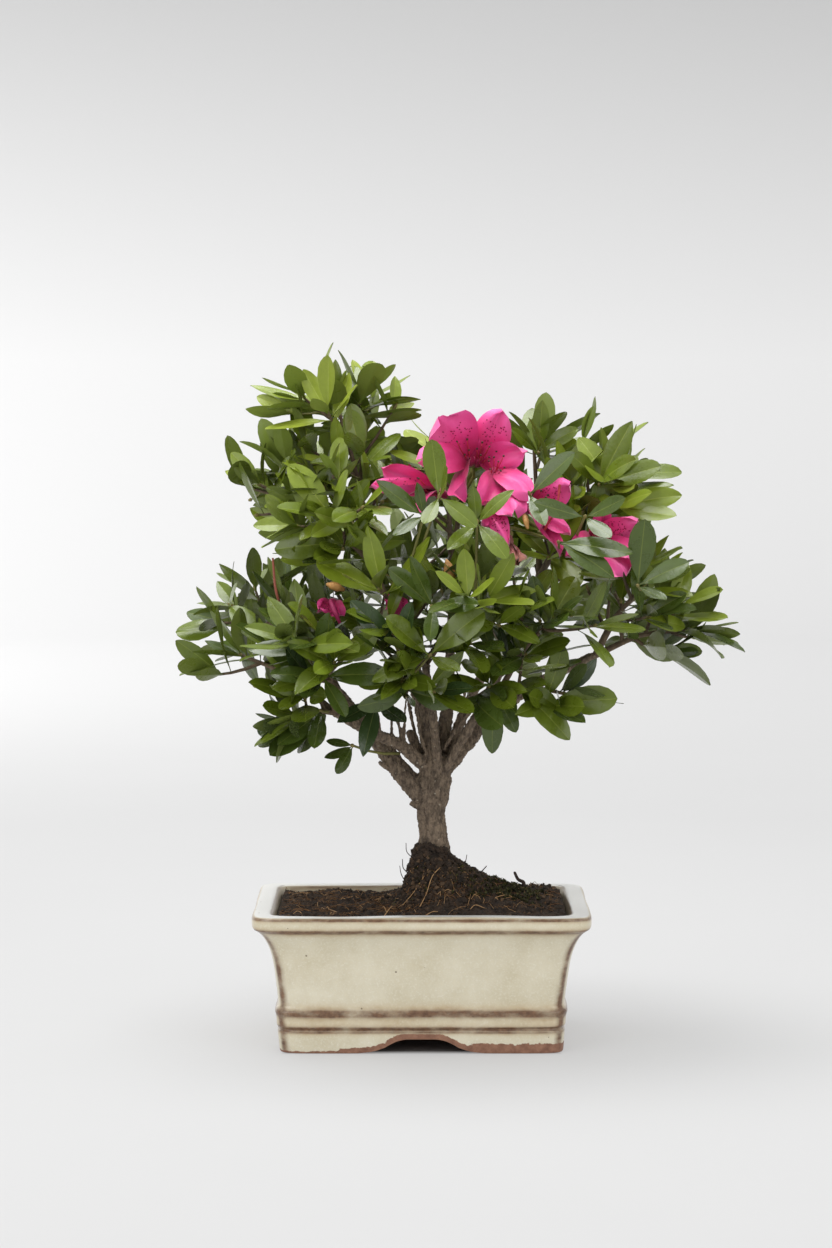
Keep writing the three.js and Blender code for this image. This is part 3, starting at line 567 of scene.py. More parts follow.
def moundAt(x, y):
    awayX, awayY = x - soilPlan["foot"][0], y - soilPlan["foot"][1]
    away = np.maximum(np.hypot(awayX, awayY), 0.001)
    leftness = 0.5 - 0.5 * awayX / away
    reach = mix(soilPlan["gentle"][0], soilPlan["steep"][0], leftness)
    power = mix(soilPlan["gentle"][1], soilPlan["steep"][1], leftness)
    crestX, crestY, crestHigh, crestReach = soilPlan["crest"]
    crest = crestHigh * np.exp(-((x - crestX) ** 2 + (y - crestY) ** 2) / crestReach**2)
    high, alongX, alongY = soilPlan["swell"]
    waves = high * np.sin(alongX * x) * np.cos(alongY * y)
    return soilPlan["moundHeight"] / (1 + (away / reach) ** power) + crest + waves


def lumpAt(x, y):
    close, high, more = soilPlan["lumps"]
    middle, reach = soilPlan["lumpMound"]
    fineClose, fineHigh = soilPlan["grain"]
    heaped = math.exp(-((x - middle) ** 2 + y**2) / reach**2)
    lump = noise.noise(Vector((x * close, y * close, 8.7))) * (high + more * heaped)
    return lump + noise.noise(Vector((x * fineClose, y * fineClose, 5.2))) * fineHigh


def soilAt(x, y):
    return soilPlan["level"] + float(moundAt(x, y)) + lumpAt(x, y)


def makeSoil():
    bpy.ops.mesh.primitive_grid_add(x_subdivisions=176, y_subdivisions=124, size=2, location=tuple(potMiddle))
    soil = bpy.context.object
    soil.name = soil.data.name = "soilBed"
    centred(soil)
    square = readSpots(soil) / 1000
    power = potPlan["squareness"]
    widest = np.maximum(np.abs(square[:, :2]).max(1), 1e-6)
    onEdge = square[:, :2] / widest[:, None]
    square[:, :2] /= ((np.abs(onEdge) ** power).sum(1) ** (1 / power))[:, None]
    spots = square * np.array((soilPlan["halfLength"], soilPlan["halfDepth"], 0))
    for spot in spots:
        spot[2] = soilAt(spot[0], spot[1])
    edge = widest > 0.999
    spots[edge, 2] = soilPlan["level"] - soilPlan["edgeDrop"]
    writeSpots(soil, spots)
    editAll()
    bpy.ops.mesh.region_to_loop()
    extrude(-soilPlan["skirt"])
    turnOutwards()
    bpy.ops.object.shade_smooth()
    if sum(face.normal.z for face in soil.data.polygons) < 0:
        soil.data.flip_normals()
    return soil


def smallBall():  # a ball's points and faces, to be copied
    bpy.ops.mesh.primitive_ico_sphere_add(subdivisions=1, radius=1)
    ball = bpy.context.object
    spots = np.array([vertex.co for vertex in ball.data.vertices])
    faces = [tuple(face.vertices) for face in ball.data.polygons]
    bpy.data.objects.remove(ball)
    return spots, faces


def roundTrunk(away, angle):
    return soilPlan["foot"][0] + away * math.cos(angle), away * math.sin(angle)


def onSoil(numbers):  # a place inside the rim, more often on the mound
    halfLong, halfDeep = soilPlan["open"]
    while True:
        if numbers() < soilPlan["moundShare"]:
            away, angle = mix(*soilPlan["onMound"], numbers() ** 0.7), 2 * math.pi * numbers()
            x, y = roundTrunk(away, angle)
        else:
            x, y = (numbers() * 2 - 1) * halfLong, (numbers() * 2 - 1) * halfDeep
        if abs(x) < halfLong + 1 and abs(y) < halfDeep + 0.5:
            return x, y


crumbPlan = {  # how many of each kind, and their least and greatest radius
    "seed": 77, "crumbs": (6900, (0.3, 1.3)), "clods": (2600, (0.4, 1.7)), "clumps": (110, (1.4, 3.0)),
    "collar": (330, (0.5, 1.9)), "darkShares": {"crumbs": 0.84, "clods": 0.88, "collar": 0.9},
    "smooth": (0.6, 0.8), "rough": (0.55, 0.9),  # least distance of a point, and how much more
    "collarTop": 108.5, "collarTurns": (-2.9, -0.5), "collarPeak": -1.8, "collarFall": 5,
    "clodReach": (9, 29), "clumpReach": (9, 16), "clumpLift": (-3, 2.5), "collarReach": (9.3, 2.2),
}


def jagged(ball, numbers, kind):
    least, more = crumbPlan[kind]
    return ball * np.array([least + more * numbers() for _ in ball])[:, None]


def makeCrumbs():
    numbers, heap = stream(crumbPlan["seed"]), Heap()
    ball, faces = smallBall()
    dark = crumbPlan["darkShares"]
    count, sizes = crumbPlan["crumbs"]
    for k in range(count):
        x, y = onSoil(numbers)
        size = mix(*sizes, numbers() ** 3)
        crumb = jagged(ball, numbers, "smooth")
        squash = np.array((0.8 + 0.6 * numbers(), 0.8 + 0.6 * numbers(), 0.6 + 0.5 * numbers()))
        place = (x, y, soilAt(x, y) + size * 0.25)
        heap.add(crumb * squash * size + place, faces, int(numbers() >= dark["crumbs"]))
    count, sizes = crumbPlan["clods"]
    for k in range(count):  # loose clods piled against the trunk
        angle, away = 2 * math.pi * numbers(), mix(*crumbPlan["clodReach"], numbers() ** 1.4)
        x, y = roundTrunk(away, angle)
        size = mix(*sizes, numbers() ** 2)
        clod = jagged(ball, numbers, "rough") * size
        place = (x, y, soilAt(x, y) + 1.5 * numbers() ** 1.5)
        heap.add(clod + place, faces, int(numbers() >= dark["clods"]))
    count, sizes = crumbPlan["clumps"]
    for k in range(count):  # larger lumps that break up the steep side's outline
        angle, away = math.pi * (0.5 + 1.2 * numbers()), mix(*crumbPlan["clumpReach"], numbers())
        x, y = roundTrunk(away, angle)
        size = mix(*sizes, numbers() ** 2)
        clump = jagged(ball, numbers, "smooth") * size
        heap.add(clump + (x, y, soilAt(x, y) + mix(*crumbPlan["clumpLift"], numbers())), faces)
    count, sizes = crumbPlan["collar"]
    least, more = crumbPlan["collarReach"]
    for k in range(count):  # what clings to the front of the trunk's foot
        turn = mix(*crumbPlan["collarTurns"], numbers())
        x, y = roundTrunk(least + more * numbers(), turn)
        top = crumbPlan["collarTop"] - crumbPlan["collarFall"] * abs(turn - crumbPlan["collarPeak"]) ** 1.5
        size = mix(*sizes, numbers() ** 1.5)
        crumb = jagged(ball, numbers, "rough") * size
        height = mix(soilAt(x, y), max(top, soilAt(x, y)), numbers() ** 1.3)
        heap.add(crumb + (x, y, height), faces, int(numbers() >= dark["collar"]))
    return heap.piece("soilCrumbs", peat, peatPale)


fibrePlan = {
    "seed": 205, "fibres": 1150, "lengths": (3, 14), "steps": 5, "turn": 1.4, "rootShare": 0.8,
    "edge": (77, 53.5),
    "straws": (  # those in plain sight: points x, y and height over the soil, and the radius
        (((-20.5, -45, 1.0), (-17.5, -38, 3.2), (-16, -26, 2.4)), 0.3),
        (((-45, -41, 0.6), (-47, -33, 2.2), (-52, -22, 0.8)), 0.22),
        (((-19, -34, 0.5), (-20.5, -28, 2.2), (-23, -20, 0.6)), 0.22),
        (((-1, -33, 0.8), (2.5, -27, 2.6), (6, -21, 2.4), (10.5, -15, 1.2)), 0.26),
        (((-12, -24, 1.0), (-3, -20, 2.6), (4, -16, 1.6)), 0.22),
        (((2, -49, 0.4), (6, -44, 2.0), (9, -41, 0.5)), 0.26),
        (((26, -47, 0.3), (29, -44, 1.6), (34, -43, 0.4)), 0.2),
        (((40, -30, 0.5), (46, -27, 1.4), (54, -27, 0.4)), 0.2),
    ),
    "sprigs": (  # dark bits that stand out of the mound
        (((56, 6, -1), (56.5, 5, 3), (53.5, 4, 5), (51.5, 3, 9)), 1.3),
        (((31, 0, 0), (33, -1, 2), (36, -2, 5.5)), 0.45),
        (((-7, -2, 0), (-10, -2, 3), (-10.5, -2, 8)), 0.35),
        (((-8, -5, -3), (-11, -6, 2), (-12, -6, 7)), 0.3),
        (((20, -8, 0), (24, -9, 3), (25, -9, 7)), 0.3),
        (((-4, -8, 0), (-8, -9, 4), (-8.5, -9, 9)), 0.3),
    ),
}


def makeFibres():
    numbers, heap = stream(fibrePlan["seed"]), Heap()
    for spots, radius in fibrePlan["straws"]:
        line = [(x, y, soilAt(x, y) + lift) for x, y, lift in spots]
        tube(heap, smoothPath(line, density=5)["line"], radius, 4, 0)
    for spots, radius in fibrePlan["sprigs"]:
        foot = soilAt(*spots[0][:2])
        line = [(x, y, foot + lift) for x, y, lift in spots]
        path = smoothPath(line, density=5)["line"]
        tube(heap, path, np.linspace(radius, radius * 0.6, len(path)), 5, 2)
    edgeX, edgeY = fibrePlan["edge"]
    gaps = fibrePlan["steps"] - 1
    for k in range(fibrePlan["fibres"]):
        x, y = onSoil(numbers)
        heading, turn, line = 2 * math.pi * numbers(), (numbers() - 0.5) * fibrePlan["turn"], []
        length = mix(*fibrePlan["lengths"], numbers() ** 2)
        for step in range(gaps + 1):  # both ends lie on the soil
            line.append((x, y, soilAt(x, y) + 0.35 + (1.1 * numbers() if 0 < step < gaps else 0.2)))
            heading += turn * (numbers() - 0.2)
            x, y = x + math.cos(heading) * length / gaps, y + math.sin(heading) * length / gaps
            x, y = max(-edgeX, min(edgeX, x)), max(-edgeY, min(edgeY, y))
        tube(heap, line, 0.07 + 0.11 * numbers(), 3, int(numbers() < fibrePlan["rootShare"]))
    return heap.piece("soilFibres", straw, rootFibre, sprig)


mossPlan = {
    "seed": 411, "tufts": 620, "blades": 6,
    "byTrunk": 5, "trunkReach": (10, 30),  # every fifth tuft stands by the trunk
    "middle": (30, -6), "spread": (30, 38), "edge": (76, 52), "freshShare": 0.35,
}


def makeMoss():
    numbers, heap = stream(mossPlan["seed"]), Heap()
    (middleX, middleY), (spreadX, spreadY) = mossPlan["middle"], mossPlan["spread"]
    for k in range(mossPlan["tufts"]):
        if k % mossPlan["byTrunk"]:
            x = middleX + spreadX * (numbers() + numbers() - 0.6)
            y = middleY + spreadY * (numbers() - 0.62)
        else:
            away, angle = mix(*mossPlan["trunkReach"], numbers()), -math.pi * numbers()
            x, y = roundTrunk(away, angle)
        if abs(x) >= mossPlan["edge"][0] or abs(y) >= mossPlan["edge"][1]:
            continue
        foot = np.array((x, y, soilAt(x, y) - 0.2))
        for blade in range(mossPlan["blades"]):
            angle = 2 * math.pi * (blade + numbers()) / mossPlan["blades"]
            out = np.array((math.cos(angle), math.sin(angle), 0))
            side = np.cross(out, up) * (0.3 + 0.25 * numbers())
            tall, lean = 1.0 + 1.5 * numbers(), 0.5 + 0.9 * numbers()
            middle = foot + out * lean * 0.6 + up * tall * 0.7
            tip = foot + out * lean * 1.5 + up * tall
            spots = [foot - side * 0.6, foot + side * 0.6, middle + side, middle - side, tip]
            heap.add(spots, [(0, 1, 2, 3), (3, 2, 4)], int(numbers() < mossPlan["freshShare"]))
    return heap.piece("soilMoss", moss, mossFresh)


peat = patchy("darkPeat", (28, 22, 17), (72, 56, 43), 260, 2.6, 0.95, bump=0.9, bumpSize=600, depth=0.0014)
peatPale = patchy("paleCrumb", (58, 44, 33), (112, 88, 64), 400, 1.8, 0.95, bump=0.6)
straw = patchy("paleStraw", (168, 124, 80), (206, 166, 118), 500, 2, 0.7)
rootFibre = patchy("rootFibre", (84, 58, 34), (140, 98, 56), 500, 2, 0.8)
sprig = patchy("darkSprig", (34, 26, 22), (66, 52, 42), 500, 2, 0.9)
moss = patchy("darkMoss", (34, 34, 17), (62, 60, 28), 500, 2, 0.85)
mossFresh = patchy("freshMoss", (58, 58, 24), (94, 92, 42), 500, 2, 0.8)

soil = makeSoil()
soil.data.materials.append(peat)
settle(soil, "soil", "soil")
settle(makeCrumbs(), "soil", "soil")
settle(makeFibres(), "soil", "soil")
settle(makeMoss(), "soil", "soil")

# trunk and boughs
trunkPlan = {
    "foot": (7, 0), "ground": 72, "height": 84, "leans": (0, 0, 0, -1, -1.6, 0, 1),
    "radii": (14.5, 10.6, 8.7, 7.6, 8.2, 9.6, 7.4), "flareHeight": 24, "lobes": 5, "lobeDepth": 0.16,
}
boughPlan = {  # points from inside the trunk to the tip, and the radius at each end
    "leftLow": (((1, 0, 134), (-12, 2, 148), (-26, 6, 165), (-46, 12, 191)), (6.2, 2.4)),
    "leftFront": (((2, -3, 150), (-9, -10, 161), (-25, -20, 170), (-47, -35, 183)), (3.8, 2.2)),
    "tower": (((7, -3, 151), (3, -1, 180), (-11, 5, 225), (-26, 6, 261)), (3.9, 2.3)),
    "centre": (((11, 4, 151), (15, 6, 192), (17, 0, 247)), (3.6, 2.2)),
    "rightLow": (((12, -1, 147), (33, -2, 172), (60, -6, 194), (95, -10, 212)), (4.2, 2.2)),
    "rightUp": (((14, 3, 151), (32, 7, 180), (52, 10, 219), (65, 6, 255)), (2.9, 2.0)),
    "centreFront": (((9, -6, 149), (6, -18, 183), (2, -35, 209)), (2.6, 2.0)),
    "rightUnder": (((13, -5, 149), (29, -16, 177), (42, -32, 194)), (2.4, 1.8)),
    "backLeft": (((5, 6, 149), (-2, 28, 184), (-13, 58, 216)), (3.4, 2.0)),
    "backRight": (((11, 7, 148), (27, 28, 184), (46, 58, 216)), (3.2, 2.0)),
    "deadStub": (((1, 2, 150), (-3, 1, 160), (-6, -1, 168)), (3.2, 2.2)),
}
spurPlan = (  # knobs, snags and bare twigs on the trunk and boughs
    (((1, -3, 128), (-3.4, -4, 129), (-6.4, -4.4, 130.4)), (2.6, 1.2)),
    (((-13, 1, 147), (-18, -1, 149), (-23.4, -3, 152.6)), (2.0, 1.2)),
    (((27, -3, 166), (27.5, -5, 170), (26.6, -6, 172.4)), (1.5, 0.7)),
    (((-3, 0, 159), (-2.5, 0, 165), (-3.6, 0, 169)), (1.8, 0.7)),
    (((-10, -10, 160), (-12, -12, 172), (-16, -15, 187)), (1.2, 0.8)),
    (((-15.5, -13, 163), (-16.4, -14, 173), (-16, -16, 188)), (1.0, 0.7)),
    (((-9.6, -9, 159), (-9.5, -11, 174), (-8, -14, 193)), (1.1, 0.7)),
    (((-22, -18, 167), (-22.5, -19, 172), (-23.4, -20, 180)), (0.9, 0.6)),
    (((24, -1, 161), (30, 1, 174), (33, 2, 190)), (1.4, 1.0)),
    (((12, -5, 160), (19, -10, 171), (29, -16, 184)), (1.3, 0.9)),
    (((4, -4, 152), (0, -8, 168), (-3, -14, 190)), (1.1, 0.7)),
    (((14, 0, 152), (20, -2, 170), (24, -3, 192)), (1.1, 0.7)),
    (((2, 3, 152), (-4, 4, 170), (-9, 3, 195)), (1.2, 0.8)),
)


def boughPath(name):
    through, radii = boughPlan[name]
    onward = unit(np.subtract(through[-1], through[-2])) * radii[1]
    return smoothPath(through + (tuple(np.add(through[-1], onward)),))


def limbTube(spots, radii):  # a curve with its own thickness at each point, made a mesh
    bpy.ops.curve.primitive_nurbs_path_add()
    limb = bpy.context.object
    limb.data.splines.clear()
    line = limb.data.splines.new("POLY")
    line.points.add(len(spots) - 1)
    for point, spot, radius in zip(line.points, toFrame(spots), radii):
        point.co = (*spot, 1)
        point.radius = radius
    limb.location = (0, 0, 0)
    limb.data.bevel_depth = 0.001
    limb.data.bevel_resolution = 5
    limb.data.use_fill_caps = True
    bpy.ops.object.convert(target="MESH")
    return bpy.context.object


barkPlan = {  # height and size of each kind of relief
    "voxel": 0.0007, "ridge": (0.85, 0.7), "grain": (0.55, 1.7), "lump": (1.0, 0.12), "alongShare": 0.66,
}


def makeLimbs():
    shares = np.linspace(0, 1, 29)
    steps = np.linspace(0, 1, len(trunkPlan["radii"]))
    heights = trunkPlan["ground"] + trunkPlan["height"] * shares
    leans = smoothPath([(lean, 0, trunkPlan["height"] * k) for lean, k in zip(trunkPlan["leans"], steps)])
    sideways = np.interp(heights - trunkPlan["ground"], leans["line"][:, 2], leans["line"][:, 0])
    trunkLine = np.stack((trunkPlan["foot"][0] + sideways, 0 * shares, heights), axis=1)
    limbs, lines = [limbTube(trunkLine, np.interp(shares, steps, trunkPlan["radii"]))], [trunkLine]
    for name, (through, radii) in boughPlan.items():
        path = boughPath(name)
        spots = spotAt(path, np.linspace(0, 1, 25))
        taper = np.linspace(*radii, 25)
        taper[-1] *= 0.6
        limbs.append(limbTube(spots, taper))
        lines.append(spots)
    for through, radii in spurPlan:
        spots = smoothPath(through, density=6)["line"]
        limbs.append(limbTube(spots, np.linspace(*radii, len(spots))))
        lines.append(spots)
    pick(*limbs)
    bpy.ops.object.join()
    limb = bpy.context.object
    limb.name = limb.data.name = "limbsBark"
    centred(limb)
    applied(limb, "REMESH", mode="VOXEL", voxel_size=barkPlan["voxel"])
    applied(limb, "SMOOTH", factor=0.5, iterations=3)
    starts, ends = (np.concatenate([line[part] for line in lines]) for part in (slice(-1), slice(1, None)))
    carveBark(limb, starts, ends)
    bpy.ops.object.shade_smooth()
    return limb


def carveBark(limb, starts, ends):  # ridges that run along each limb, lumps, and the flare's lobes
    spots = readSpots(limb)
    normals = np.empty(len(spots) * 3)
    limb.data.vertices.foreach_get("normal", normals)
    normals = normals.reshape(-1, 3)
    ways = (ends - starts) / np.linalg.norm(ends - starts, axis=1)[:, None]
    parts = np.array_split(spots, 40)
    nearest = np.concatenate([distancesTo(part, starts, ends).argmin(1) for part in parts])
    along = (spots * ways[nearest]).sum(1)[:, None] * ways[nearest]
    drawn = spots - barkPlan["alongShare"] * along  # drawn out along the limb
    raised = np.empty(len(spots))
    (ridgeHigh, ridgeSize), (grainHigh, grainSize) = barkPlan["ridge"], barkPlan["grain"]
    lumpHigh, lumpSize = barkPlan["lump"]
    for k, (spot, plain) in enumerate(zip(drawn, spots)):
        ridge = 1 - 2 * abs(noise.noise(Vector(spot * ridgeSize)))
        grain = noise.noise(Vector(spot * grainSize + 40))
        lump = noise.noise(Vector(plain * lumpSize + 9))
        raised[k] = ridgeHigh * (ridge - 0.5) + grainHigh * grain + lumpHigh * lump
    slim = np.clip(np.linalg.norm(spots - starts[nearest], axis=1) / 4, 0.25, 1)
    spots = spots + normals * (raised * slim)[:, None]
    x, y = spots[:, 0] - trunkPlan["foot"][0], spots[:, 1] - trunkPlan["foot"][1]
    flare = np.clip(1 - (spots[:, 2] - trunkPlan["ground"]) / trunkPlan["flareHeight"], 0, 1)
    lobes = 1 + trunkPlan["lobeDepth"] * flare * np.cos(trunkPlan["lobes"] * np.arctan2(y, x))
    spots[:, 0] += x * (lobes - 1)
    spots[:, 1] += y * (lobes - 1)
    writeSpots(limb, spots)


def barkFinish():
    finish = Finish("greyBark", 0.85)
    broad = finish.patches((86, 72, 59), (150, 131, 111), 130, 2.4, Stretch=(1, 1, 0.35))["Colour"]
    fine = finish.patches((40, 31, 25), (172, 152, 130), 520, 4.2, Stretch=(1, 1, 0.45))
    wood = finish.blend(finish.math("MULTIPLY_ADD", fine["Mask"], -0.1, 0.5), broad, fine["Colour"])
    pale = finish.group(specks, Size=420, Radius=0.22, Share=0.14)["Mask"]
    finish.feed("Base Color", finish.blend(finish.math("MULTIPLY", pale, 0.75), wood, colour(188, 176, 158)))
    finish.roughness(fine["Mask"], 0.75, 0.95)
    finish.bump(1.0, 0.0016, Size=900, Stretch=(1, 1, 0.4))
    return finish.material


limbs = makeLimbs()
limbs.data.materials.append(barkFinish())
settle(limbs, "bark", *limbNodes)

# foliage: each mass grows from its bough by one rule, as the solids do, and goes on to finer twigs
crownOutline = (  # x and height, from the front
    (-66, 376), (-44, 375), (-22, 377), (-6, 360), (4, 340), (40, 350), (70, 356), (114, 341), (143, 302),
    (127, 279), (176, 240), (165, 202), (112, 190), (84, 172), (42, 160), (26, 184), (-8, 186), (-30, 176),
    (-48, 155), (-84, 161), (-88, 192), (-131, 208), (-136, 245), (-86, 275), (-109, 322), (-90, 352),
)
massPlan = {  # bough, tip of the stem, how far the sprays stand out, how many
    "leftTier": ("leftLow", (-104, 5, 238), 28, 6),
    "leftBack": ("leftLow", (-76, 68, 234), 26, 6),
    "leftUnder": ("leftFront", (-66, -50, 182), 20, 4),
    "leftLowerTier": ("leftFront", (-97, -36, 214), 24, 6),
    "leftFront": ("leftFront", (-52, -78, 226), 26, 8),
    "crownTop": ("tower", (-46, 0, 348), 34, 11),
    "crownLeft": ("tower", (-88, -6, 305), 26, 8),
    "towerFront": ("tower", (-49, -54, 290), 28, 9),
    "towerBack": ("tower", (-52, 55, 312), 30, 6),
    "blossomCentre": ("centre", (23, -22, 318), 24, 7),
    "centreBack": ("centre", (14, 48, 312), 28, 7),
    "frontLeft": ("centreFront", (-22, -80, 252), 26, 10),
    "frontRight": ("centreFront", (34, -80, 246), 26, 8),
    "frontLow": ("centreFront", (-10, -84, 204), 22, 7),
    "rightTip": ("rightLow", (146, -10, 226), 22, 6),
    "rightMid": ("rightLow", (120, -34, 252), 24, 5),
    "rightBack": ("rightLow", (120, 46, 240), 24, 4),
    "rightTop": ("rightUp", (103, -3, 308), 30, 8),
    "rightHigh": ("rightUp", (62, 14, 327), 22, 5),
    "blossomRight": ("rightUp", (84, -34, 278), 22, 6),
    "rightLow": ("rightUnder", (76, -42, 194), 20, 3),
    "rightInner": ("rightUnder", (36, -66, 200), 20, 4),
    "rightFront": ("rightUnder", (70, -70, 236), 26, 6),
    "backLeft": ("backLeft", (-53, 90, 238), 26, 7),
    "backMid": ("backLeft", (0, 96, 264), 28, 6),
    "backRight": ("backRight", (86, 82, 254), 28, 5),
    "backLow": ("backRight", (38, 96, 216), 22, 4),
}
blossomPlan = (  # mass, throat, way it faces, and each petal's tip, half width, bluntness and finish (finish 2 is the darker pink of painted shade)
    ("blossomCentre", (25, -36, 320), (-0.35, -0.85, 0.4), (
        ((9, -52, 342), 15, 1.0, 0), ((25, -42, 337), 7, 0.7, 2), ((0, -62, 320), 9, 0.8, 0),
        ((21, -70, 299), 7.5, 0.6, 2))),
    ("blossomCentre", (31, -33, 319), (0.3, -0.9, 0.3), (
        ((45, -40, 345), 11, 0.1, 0), ((55, -52, 325), 8.5, 0.4, 0), ((58, -44, 307), 7, 0.3, 2))),
    ("blossomCentre", (39, -45, 313), (0.1, -0.95, 0.2), (
        ((47, -74, 293), 10, 0.9, 0), ((57, -67, 303), 8, 0.7, 0), ((31, -70, 298), 7, 0.7, 2))),
    ("blossomCentre", (37, -56, 298), (0.1, -0.85, -0.3), (
        ((44.5, -75, 276), 5.5, 0.1, 0), ((33, -70, 285), 5, 0.3, 2))),
    ("blossomCentre", (9, -43, 302), (-0.6, -0.7, 0.3), (
        ((-27, -58, 307), 6, 0.3, 0), ((-21, -50, 316), 7, 0.5, 0), ((-14, -66, 300), 6, 0.4, 2),
        ((-3, -68, 295), 6, 0.4, 2))),
    ("blossomRight", (59, -45, 294), (0.4, -0.85, 0.2), (
        ((79, -58, 306), 8, 0.5, 0), ((64, -64, 285), 5, 0.3, 2), ((78, -62, 281), 5, 0.4, 0),
        ((74, -66, 270), 5, 0.2, 2))),
    ("blossomRight", (92, -42, 278), (0.4, -0.9, -0.1), (
        ((115, -58, 286), 7.5, 0.5, 0), ((107, -68, 261), 8.5, 0.8, 0), ((78, -66, 270), 7, 0.3, 2),
        ((97, -54, 297), 5.5, 0.2, 2), ((115, -68, 270), 7, 0.6, 0))),
    ("leftFront", (-47, -64, 244), (0, -0.9, 0.3), (
        ((-55, -72, 241), 5, 0.4, 2), ((-42, -72, 238), 5, 0.2, 2))),
    ("frontLeft", (-14, -68, 247), (0, -0.9, 0.3), (
        ((-10, -76, 240), 5, 0.4, 2), ((-19, -74, 242), 5, 0.2, 2))),
    ("centreBack", (8, 66, 310), (-0.2, 0.85, 0.5), ()),  # without a list it has five even petals
    ("blossomRight", (47, -68, 276), (0.2, -0.5, -0.85), ()),  # withered, below the others
)
growth = {
    "seed": 101, "stemArch": 0.08, "firstSpray": 0.3, "lastSpray": 0.94, "leans": (76, 48), "lift": 0.3,
    "spaceMargin": -15, "limbMargin": 0.8, "pitches": (80, 26), "pitchSpread": 18, "turnSpread": 0.5,
    "leafLength": 37, "leastLeaf": 0.76, "leafRange": 0.4, "towardsTip": (1.02, 0.74), "lastLeaf": 0.98,
    "lightward": 0.6, "upturn": 0.16, "shorter": (1, 0.84), "bow": 0.05,
    "tipLeaves": (6, 0.66, 1.0), "lowLeaves": (2, 0.4, 0.95),  # count, start along the twig, size
    "shootLeaves": (4, 0.6, 0.86), "lowChance": 0.5, "shootChance": 0.4, "shootAt": 0.5, "shootShare": 0.55,
    "shootLengths": (9, 18),
    "shootWay": (0.62, 0.78, 0.2),  # along the twig, out of it and up
    "sprayTurn": 0.7, "sprayReach": (0.75, 0.4), "twigShares": (1, 0.6), "tipSpray": 0.7, "handBow": 0.06,
    "stemRadii": (1.9, 0.95), "twigRadii": (1.15, 0.7), "shootRadii": (0.75, 0.5), "handRadii": (0.95, 0.7),
}
lightPlan = {  # how the height, the distance from the trunk and chance choose a tint
    "height": 0.6, "lowest": 170, "heightSpan": 200, "out": 0.12, "outSpan": 120, "chance": 0.38,
    "steps": 5.2, "shift": 0.3, "oddLeaves": 0.18,
}
leafPlan = {
    "stations": (0, 0.1, 0.25, 0.43, 0.6, 0.76, 0.88, 0.96, 1), "lanes": (-1, -0.52, 0, 0, 0.52, 1),
    "widthShare": 0.42, "slimShare": 0.33, "stalk": 0.08, "stalkHalf": 0.018,
    "ribHalf": 0.0105, "ribSink": 0.01,
    "slim": (0.9, 0.9), "broad": (0.95, 0.58),  # how the blade swells and closes
    "fold": (0.04, 0.28), "roll": 0.3, "droops": (-0.3, 0.6), "twist": 0.7,
    "samples": ((0.34, 0.82), (0.34, -0.82), (0.5, 0), (0.76, 0), (0.74, 1), (0.74, -1), (1, 0)),
}

stemPaths = {}
for name, (bough, tip, spread, sprays) in massPlan.items():
    end = np.array(boughPlan[bough][0][-1], float)
    way = np.subtract(tip, end)
    arch = end + way * 0.5 + up * np.linalg.norm(way) * growth["stemArch"]
    stemPaths[name] = smoothPath((end, arch, tip))
massNames = list(massPlan)
stemSpots = [spotAt(path, np.linspace(0, 1, 5)) for path in stemPaths.values()]
stemStarts = np.concatenate([spots[:-1] for spots in stemSpots])
stemEnds = np.concatenate([spots[1:] for spots in stemSpots])

limbStarts, limbEnds, limbRadii = [], [], []
for name, (through, radii) in boughPlan.items():
    spots = spotAt(boughPath(name), np.linspace(0, 1, 15))
    limbStarts.extend(spots[:-1])
    limbEnds.extend(spots[1:])
    limbRadii.extend([max(radii)] * 14)
trunkFoot = np.array((*trunkPlan["foot"], trunkPlan["ground"]), float)
limbStarts = np.array(limbStarts + [trunkFoot])
limbEnds = np.array(limbEnds + [trunkFoot + up * trunkPlan["height"]])
limbRadii = np.array(limbRadii + [max(trunkPlan["radii"])])
ballCentres = np.array([  # leaves keep out of a ball in the middle of each flower, and off its petals
    np.mean((at, np.add(at, unit(face) * 12), *(tip for tip, *_ in petals)), axis=0)
    for _, at, face, petals in blossomPlan
])
ballRadii = np.array([13 if len(petals) != 2 else 6 for *_, petals in blossomPlan])
petalStarts = np.array([at for _, at, _, petals in blossomPlan for _ in petals], float)
petalEnds = np.array([tip for *_, petals in blossomPlan for tip, *_ in petals], float)
petalReach = np.array([1.2 * half + 1 for *_, petals in blossomPlan for _, half, *_ in petals])
crownEdge = smoothPath([(x, z, 0) for x, z in crownOutline], closed=True, density=8)["line"]


def inCrown(spots):
    x, z = spots[:, :1], spots[:, 2:]
    fromX, fromZ, toX, toZ = crownEdge[:-1, 0], crownEdge[:-1, 1], crownEdge[1:, 0], crownEdge[1:, 1]
    level = (fromZ > z) != (toZ > z)
    rise = np.where(toZ == fromZ, 1, toZ - fromZ)
    return (level & (x < fromX + (z - fromZ) / rise * (toX - fromX))).sum(1) % 2 == 1


def isClear(spots, own, margin, free=0):  # the last points of a leaf are free to stand out of the outline
    spots = np.asarray(spots)
    if not inCrown(spots[:len(spots) - free]).all():
        return False
    if (distancesTo(spots, limbStarts, limbEnds) < limbRadii + growth["limbMargin"]).any():
        return False
    if (np.linalg.norm(spots[:, None] - ballCentres, axis=2) < ballRadii).any():
        return False
    if (distancesTo(spots, petalStarts, petalEnds) < petalReach).any():
        return False
    reach = distancesTo(spots, stemStarts, stemEnds).reshape(len(spots), len(massNames), -1).min(2)
    others = np.delete(reach, own, axis=1).min(1)
    return bool((others - reach[:, own] > margin).all())


